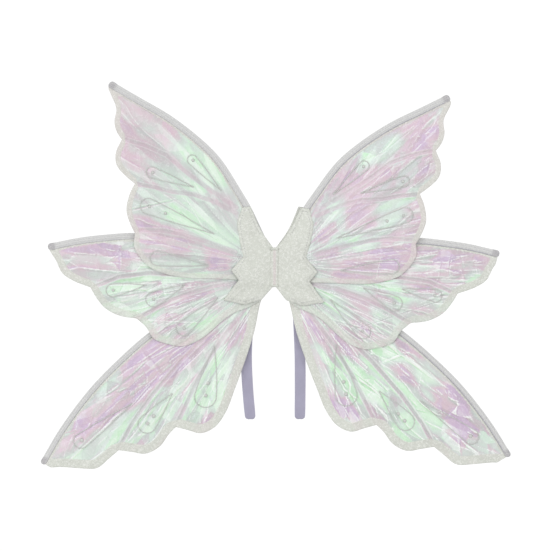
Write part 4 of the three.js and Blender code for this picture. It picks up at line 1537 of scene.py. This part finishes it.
def make_cover(side, which):
    """A glitter cover, sewn down round its edge and carried on to the centre line."""
    thickness = settings().cloth.thickness
    node, front = f"{side}_{which}_cover", which == "front"
    sign = 1 if front else -1
    start, slope = front_plane(node)
    outline = cover_outline(side, node)
    spots, triangles = triangulate([smooth_outline(outline, COVER_SPACING, 24)], COVER_SPACING)
    plane = start + slope * np.abs(spots[:, 0]) + (0 if front else 0.0008)
    face = plane - sign * cover_height(side, front, outline, spots)
    layers = (face, face + thickness) if front else (face - thickness, face)
    # Painted shade in the notches where the cover pulls the film into gathers.
    gather = np.zeros(len(spots))
    at = np.column_stack([np.abs(spots[:, 0]), spots[:, 1]])
    for out, up in ((35, 12), (40, -14), (24, -39), (30, -40)):
        gather = np.maximum(gather, np.exp(-np.linalg.norm(at - np.array([out, up]) * MM, axis=1) / 0.0028))
    marks = {"gather": np.tile(0.2 * gather, 2), "blush": np.zeros(2 * len(spots))}
    piece = make_piece(f"{node}_cloth", *slab(spots, triangles, *layers), MATERIALS["cloth"], marks)
    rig.replaces(piece, node)
    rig.slot(piece, "glitter_cloth")
    reach = 0.010 if front else 0.014
    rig.blend(
        piece, "centre", f"{side}_wings", start=(SIDES[side] * 0.002, 0, 0), end=(SIDES[side] * reach, 0, 0)
    )
    hem_line = inset_line(outline, HEM_MARGIN, 0.0028)
    stitches = stitches_on(hem_line[np.abs(hem_line[:, 0]) > 0.015], spots, face, sign, 0.0018)
    thread = make_thread(f"{node}_stitches", stitches, 0.00022, "edge_thread", side)
    declare_sheet(piece, outline, slope, [thread])


def inset_line(outline, margin, step):
    """Evenly spaced points a margin inside a closed outline."""
    fine = smooth_outline(outline, step, 24)
    ahead = heading(fine, closed=True)
    left = np.column_stack([-ahead[:, 1], ahead[:, 0]])
    moved = fine + margin * left
    if inside(outline, moved).mean() <= 0.5:
        moved = fine - margin * left
    far, _ = distance_to(outline, moved, closed=True)
    return moved[inside(outline, moved) & (far > 0.9 * margin)]


def stitches_on(line, spots, face, sign, stitch):
    """Short stitches at the points of a line, lying on a sheet that is given by its spots and depths."""
    tree = spot_tree(spots)
    stitches = []
    for place, following in zip(line, line[1:]):
        run = following - place
        reach = np.linalg.norm(run)
        if not 1e-6 <= reach <= 0.006:
            continue
        run = run / reach * stitch / 2
        ends = [place - run, place - 0.6 * run, place, place + 0.6 * run, place + run]
        rise = [-0.0002, 0.0001, 0.00018, 0.0001, -0.0002]
        stitches.append([(x, face[tree.find((x, z, 0))[1]] - sign * up, z) for (x, z), up in zip(ends, rise)])
    return stitches


def wrap_ring(low, high):
    """The way round the centre band's box, as (y, z) points with rounded corners."""
    corner = 0.003
    middle = np.array([low.y + high.y, low.z + high.z]) / 2
    half = np.array([high.y - low.y, high.z - low.z]) / 2
    ring = []
    for quarter, signs in enumerate(((1, 1), (-1, 1), (-1, -1), (1, -1))):
        for step in range(7):
            angle = (quarter + step / 6) * math.pi / 2
            around = np.array([math.cos(angle), math.sin(angle)])
            ring.append(middle + signs * (half - corner) + corner * around)
    return even(np.array(ring), 0.0007, closed=True)


def band_faces(rows, count):
    """The faces of a closed band, whose outer and inner layers each have rows rings of count points."""
    size, ring = rows * count, [(i, (i + 1) % count) for i in range(count)]
    strips = range(0, size - count, count)
    outer = [(k + i, k + j, k + j + count, k + i + count) for k in strips for i, j in ring]
    inner = [tuple(i + size for i in reversed(face)) for face in outer]
    first = [(i + size, j + size, j, i) for i, j in ring]
    last = [(i, j, j + size, i + size) for i, j in ring]
    last = [tuple(i + size - count for i in face) for face in last]
    return outer + inner + first + last


def make_wrap():
    """The gathered ribbon wound round the centre, with a strip of film showing down its front."""
    low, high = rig.box("centre_band")
    ring = wrap_ring(low, high)
    ahead = heading(ring, closed=True)
    outward = np.column_stack([ahead[:, 1], -ahead[:, 0]])
    across = np.linspace(-1, 1, 17)
    half_width = (high.x - low.x) / 2
    points, blush, gather = [], [], []
    for depth in (0, settings().cloth.thickness):
        for part in across:
            for i, (place, out) in enumerate(zip(ring, outward)):
                pleat = 0.00016 * math.sin(part * 9 + 1.2 * math.sin(i * 0.11)) + 0.0001 * math.sin(i * 0.37)
                pinch = 1 - 0.06 * math.sin(i * 0.052) ** 2
                y, z = place + out * (pleat - 0.0007 * abs(part) ** 6 - depth)
                points.append((part * half_width * pinch, y, z))
                blush.append(float(smoothstep(abs(part), 0.5, 0.3)) * (out[0] < -0.5))
                # Painted shade: two faint dark lines down the front of the ribbon.
                gather.append(0.05 * max(0.0, 1 - abs(abs(part) - 0.72) / 0.1) * (out[0] < -0.5))
    faces = band_faces(len(across), len(ring))
    wrap = make_piece("centre_wrap", points, faces, MATERIALS["cloth"], {"blush": blush, "gather": gather})
    dress(wrap, "glitter_cloth", "centre", "centre_band")
    around = float(np.linalg.norm(ring - np.roll(ring, 1, 0), axis=1).sum())
    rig.sheet(wrap, flat=(RIBBON_WIDTH, around), held="gathered", rests_on=["root_seam"])


def strap_route(side):
    """The middle of the strap from its front end, down, round the fold and up to its rear end. Also how far
    down each point is, from 0 at the hinge to 1 at the bottom, and the hinge's height."""
    strap = settings().strap
    end_low, end_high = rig.box(f"{side}_loop_end")
    low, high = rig.box(f"{side}_arm_loop")
    hinge, bottom = end_low.z, low.z + ELASTIC_THICKNESS / 2
    front, rear = low.y + ELASTIC_THICKNESS / 2, high.y - ELASTIC_THICKNESS / 2
    behind = front + ELASTIC_THICKNESS + SEWN_GAP
    drop = hinge - bottom
    profile = [
        (front, end_high.z), (front, hinge + 0.006), (front, hinge), (front, hinge - 0.25 * drop),
        (front, hinge - 0.6 * drop), (front + 0.0005, hinge - 0.88 * drop), (front + 0.004, bottom + 0.0015),
        (front + 0.0075, bottom), (rear - 0.001, bottom + 0.006), (rear, hinge - 0.82 * drop),
        (rear - 0.002, hinge - 0.6 * drop), (behind + 0.0035, hinge - 0.25 * drop),
        (behind, hinge), (behind, hinge + 0.006), (behind, end_high.z),
    ]
    line = even(np.array(profile), 0.0011)
    bow, drift = getattr(strap, f"bow_{side}"), getattr(strap, f"drift_{side}")
    part = (hinge - line[:, 1]) / drop
    hung = np.clip(part, 0, 1)
    out = abs(end_low.x + end_high.x) / 2 + bow * np.sin(math.pi * hung) + drift * hung
    return np.column_stack([SIDES[side] * out, line]), part, hinge


def strap_mesh(side, route, part, tilt, half):
    """Points, faces, UVs and paler edges of a strap: its edges rounded, and narrower at its fold."""
    ahead = heading(route)
    sideways = np.tile((1.0, 0.0, 0.0), (len(route), 1))
    sideways[:, 1] = SIDES[side] * math.sin(tilt) * smoothstep(part, 0.1, -0.02)
    sideways = unit(sideways - (sideways * ahead).sum(1, keepdims=True) * ahead)
    outward = np.cross(sideways, ahead)
    walked = walk(route)
    across = np.array([-1, -0.97, -0.9, -0.8, -0.6, -0.4, -0.2, 0, 0.2, 0.4, 0.6, 0.8, 0.9, 0.97, 1])
    section = [(s, math.sqrt(max(0.0, 1 - abs(s) ** 9))) for s in across]
    section += [(s, -f) for s, f in reversed(section[1:-1])]
    points, uv, worn = [], [], []
    lowest = part.max()
    for i, centre in enumerate(route):
        narrow = 1 - 0.04 * smoothstep(part[i], lowest - 0.1, lowest) - 0.02 * math.sin(walked[i] * 60) ** 2
        narrow -= 0.5 * (1 - math.sqrt(1 - float(np.clip(1 + (part[i] - lowest) / 0.024, 0, 1)) ** 2))
        wave = 0.00025 * math.sin(walked[i] * 75 + (1 if side == "left" else 2.4)) * (part[i] > 0.04)
        for s, f in section:
            curl = 0.0003 * s * s * (part[i] > 0.02)
            rise = f * ELASTIC_THICKNESS / 2 + wave - curl
            points.append(centre + s * half * narrow * sideways[i] + rise * outward[i])
            uv.append((s * half, walked[i]))
            worn.append(float(smoothstep(abs(s), 0.82, 1.0)))
    return points, loft(len(route), len(section)), {"worn": worn}, uv


def tack_lines(side, x, rear, slope, half):
    """Three zigzags of thread across the sewn end. On both sides they lean as the right cover does."""
    low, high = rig.box(f"{side}_loop_tack")
    rows = []
    for z in np.linspace(low.z, high.z, 3):
        zigzag = [
            (x + s * half, rear + 0.00012 + slope * s * half, z + (0.0007 if i % 2 else -0.0007))
            for i, s in enumerate(np.linspace(-0.78, 0.78, 27))
        ]
        rows.append(even(np.array(zigzag), 0.0004))
    return rows


def make_strap(side):
    """A loop of woven elastic, sewn flat on the rear cover, and the zigzag of thread that holds it."""
    route, part, hinge = strap_route(side)
    slope = front_plane(f"{side}_rear_cover")[1]
    tilt = math.atan(slope)
    end_low, end_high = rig.box(f"{side}_loop_end")
    doubled = 2 * ELASTIC_THICKNESS + SEWN_GAP
    half = (end_high.x - end_low.x - doubled * abs(math.sin(tilt))) / math.cos(tilt) / 2
    points, faces, worn, uv = strap_mesh(side, route, part, tilt, half)
    strap = make_piece(f"{side}_strap", points, faces, MATERIALS["elastic"], worn, uv)
    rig.replaces(strap, f"{side}_arm_loop", f"{side}_loop_end")
    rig.slot(strap, "loop_elastic")
    x = float(route[0, 0])
    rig.blend(strap, f"{side}_wings", f"{side}_loop", start=(x, 0, hinge + 0.002), end=(x, 0, hinge - 0.008))
    zigzags = tack_lines(side, x, route[-1, 1] + ELASTIC_THICKNESS / 2, slope, half)
    make_thread(f"{side}_strap_tack", zigzags, 0.0002, "thread", side, f"{side}_loop_tack")


# ---- Stage ----------------------------------------------------------------------------------------
def add_lamp(name, place, size, power):
    """A rectangular lamp that faces the middle of the wings."""
    light = bpy.data.lights.new(name, "AREA")
    light.shape = "RECTANGLE"
    light.size, light.size_y = size
    light.energy = power
    lamp = bpy.data.objects.new(name, light)
    bpy.context.scene.collection.objects.link(lamp)
    lamp.location = place
    lamp.rotation_euler = (-Vector(place)).to_track_quat("-Z", "Y").to_euler()


class WINGS_OT_stage(bpy.types.Operator):
    """Adds the camera, the studio light and the pale floor"""

    bl_idname = "fairy_wings.stage"
    bl_label = "Stage"

    def execute(self, context):
        stage = settings().stage
        scene = context.scene
        camera = bpy.data.objects.new("camera", bpy.data.cameras.new("camera"))
        scene.collection.objects.link(camera)
        camera.location = (0.0011, -0.015 - stage.camera_distance, -0.0088)
        camera.rotation_euler = (math.pi / 2, 0, 0)
        camera.data.lens = camera.data.sensor_width * stage.camera_distance / stage.view_width
        camera.data.clip_end = 50
        scene.camera = camera
        scene.view_settings.view_transform = "Standard"
        world = bpy.data.worlds.new("studio")
        world.use_nodes = True
        scene.world = world
        nodes = Nodes(world.node_tree)
        background = world.node_tree.nodes["Background"]
        seen = nodes.add("ShaderNodeLightPath").outputs["Is Camera Ray"]
        nodes.put(background.inputs["Color"], (1.0, 1.0, 1.0))
        strength = nodes.math("ADD", nodes.math("MULTIPLY", seen, 1.05 - stage.ambient), stage.ambient)
        nodes.put(background.inputs["Strength"], strength)
        add_lamp("key", (-0.7, -1.9, 0.7), (1.3, 1.3), stage.key)
        add_lamp("strip left", (-1.3, -0.9, 0.1), (0.12, 1.3), stage.strips)
        add_lamp("strip right", (1.2, -1.1, 0.2), (0.12, 1.3), stage.strips)
        add_lamp("strip top", (0.1, -0.8, 1.4), (1.3, 0.12), stage.strips * 0.5)
        add_lamp("rear", (0.4, 1.6, 0.9), (0.9, 0.9), stage.key * 0.7)
        corners = [(0.62 * x, 0.62 * y, -0.44) for x, y in ((-1, -1), (1, -1), (1, 1), (-1, 1))]
        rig.stage(make_piece("floor", corners, [(0, 1, 2, 3)], floor_material()))
        return {"FINISHED"}


def floor_material():
    """Pale painted board."""
    material, nodes, shader = new_material("floor_paint", Roughness=0.7)
    grain = nodes.noise(nodes.place(), 6, 4.0).outputs[0]
    floor = settings().stage.floor
    base = nodes.mix(nodes.spread(grain, 0.3, 0.7, 0, 0.3), floor, darker(floor, 0.96))
    nodes.put(shader["Base Color"], base)
    return material


# ---- Operators ------------------------------------------------------------------------------------
class WINGS_OT_materials(bpy.types.Operator):
    """Makes the materials and gives the wires and the seam theirs"""

    bl_idname = "fairy_wings.materials"
    bl_label = "Materials"

    def execute(self, context):
        make_materials()
        for name, node in frame["nodes"].items():
            material = "wire" if name.endswith("_wire") else "core" if name == "root_seam" else None
            if material:
                for slot in node.material_slots:
                    slot.link = "OBJECT"
                    slot.material = MATERIALS[material]
        return {"FINISHED"}


class WINGS_OT_panels(bpy.types.Operator):
    """Builds the six panels: backings with raised rims, film windows and teardrops"""

    bl_idname = "fairy_wings.panels"
    bl_label = "Panels"

    def execute(self, context):
        for side in SIDES:
            for level in LEVELS:
                make_panel(side, level)
        return {"FINISHED"}


class WINGS_OT_casings(bpy.types.Operator):
    """Builds the wired casings with their ribs, stitches and capped tips"""

    bl_idname = "fairy_wings.casings"
    bl_label = "Casings"

    def execute(self, context):
        for side in SIDES:
            for level in LEVELS:
                make_casing(side, level)
        return {"FINISHED"}


class WINGS_OT_centre(bpy.types.Operator):
    """Builds the glitter covers and the ribbon wound round the centre"""

    bl_idname = "fairy_wings.centre"
    bl_label = "Covers and centre"

    def execute(self, context):
        for side in SIDES:
            make_cover(side, "front")
            make_cover(side, "rear")
        make_wrap()
        return {"FINISHED"}


class WINGS_OT_arm_loops(bpy.types.Operator):
    """Builds the elastic arm loops and the thread that holds them"""

    bl_idname = "fairy_wings.arm_loops"
    bl_label = "Arm loops"

    def execute(self, context):
        for side in SIDES:
            make_strap(side)
        return {"FINISHED"}


OPERATORS = (
    WINGS_OT_stage, WINGS_OT_materials, WINGS_OT_panels, WINGS_OT_casings, WINGS_OT_centre,
    WINGS_OT_arm_loops,
)


class WINGS_PT_panel(bpy.types.Panel):
    """Lists the steps that build the wings, and their settings"""

    bl_idname = "WINGS_PT_panel"
    bl_label = "Fairy Wings"
    bl_space_type = "VIEW_3D"
    bl_region_type = "UI"
    bl_category = "Fairy Wings"

    def draw(self, context):
        for operator in OPERATORS:
            self.layout.operator(operator.bl_idname)
        wings = context.scene.fairy_wings
        for label, group in (("Film", wings.film), ("Cloth", wings.cloth), ("Edging", wings.edging),
                             ("Strap", wings.strap), ("Stage", wings.stage)):
            box = self.layout.box()
            box.label(text=label)
            for key in group.__annotations__:
                box.prop(group, key)


CLASSES = (
    FilmSettings, ClothSettings, EdgingSettings, StrapSettings, StageSettings, WingSettings, *OPERATORS,
    WINGS_PT_panel,
)


def register():
    for cls in CLASSES:
        bpy.utils.register_class(cls)
    bpy.types.Scene.fairy_wings = PointerProperty(type=WingSettings)


def unregister():
    del bpy.types.Scene.fairy_wings
    for cls in reversed(CLASSES):
        bpy.utils.unregister_class(cls)


def main():
    register()
    bpy.ops.fairy_wings.stage()
    bpy.ops.fairy_wings.materials()
    bpy.ops.fairy_wings.panels()
    bpy.ops.fairy_wings.casings()
    bpy.ops.fairy_wings.centre()
    bpy.ops.fairy_wings.arm_loops()
    visual_box = [list(corner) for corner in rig.bounds()]
    with open("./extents.json", "w") as file:
        json.dump({"cad": CAD_BOX, "visual": visual_box}, file)


if __name__ == "__main__":
    main()
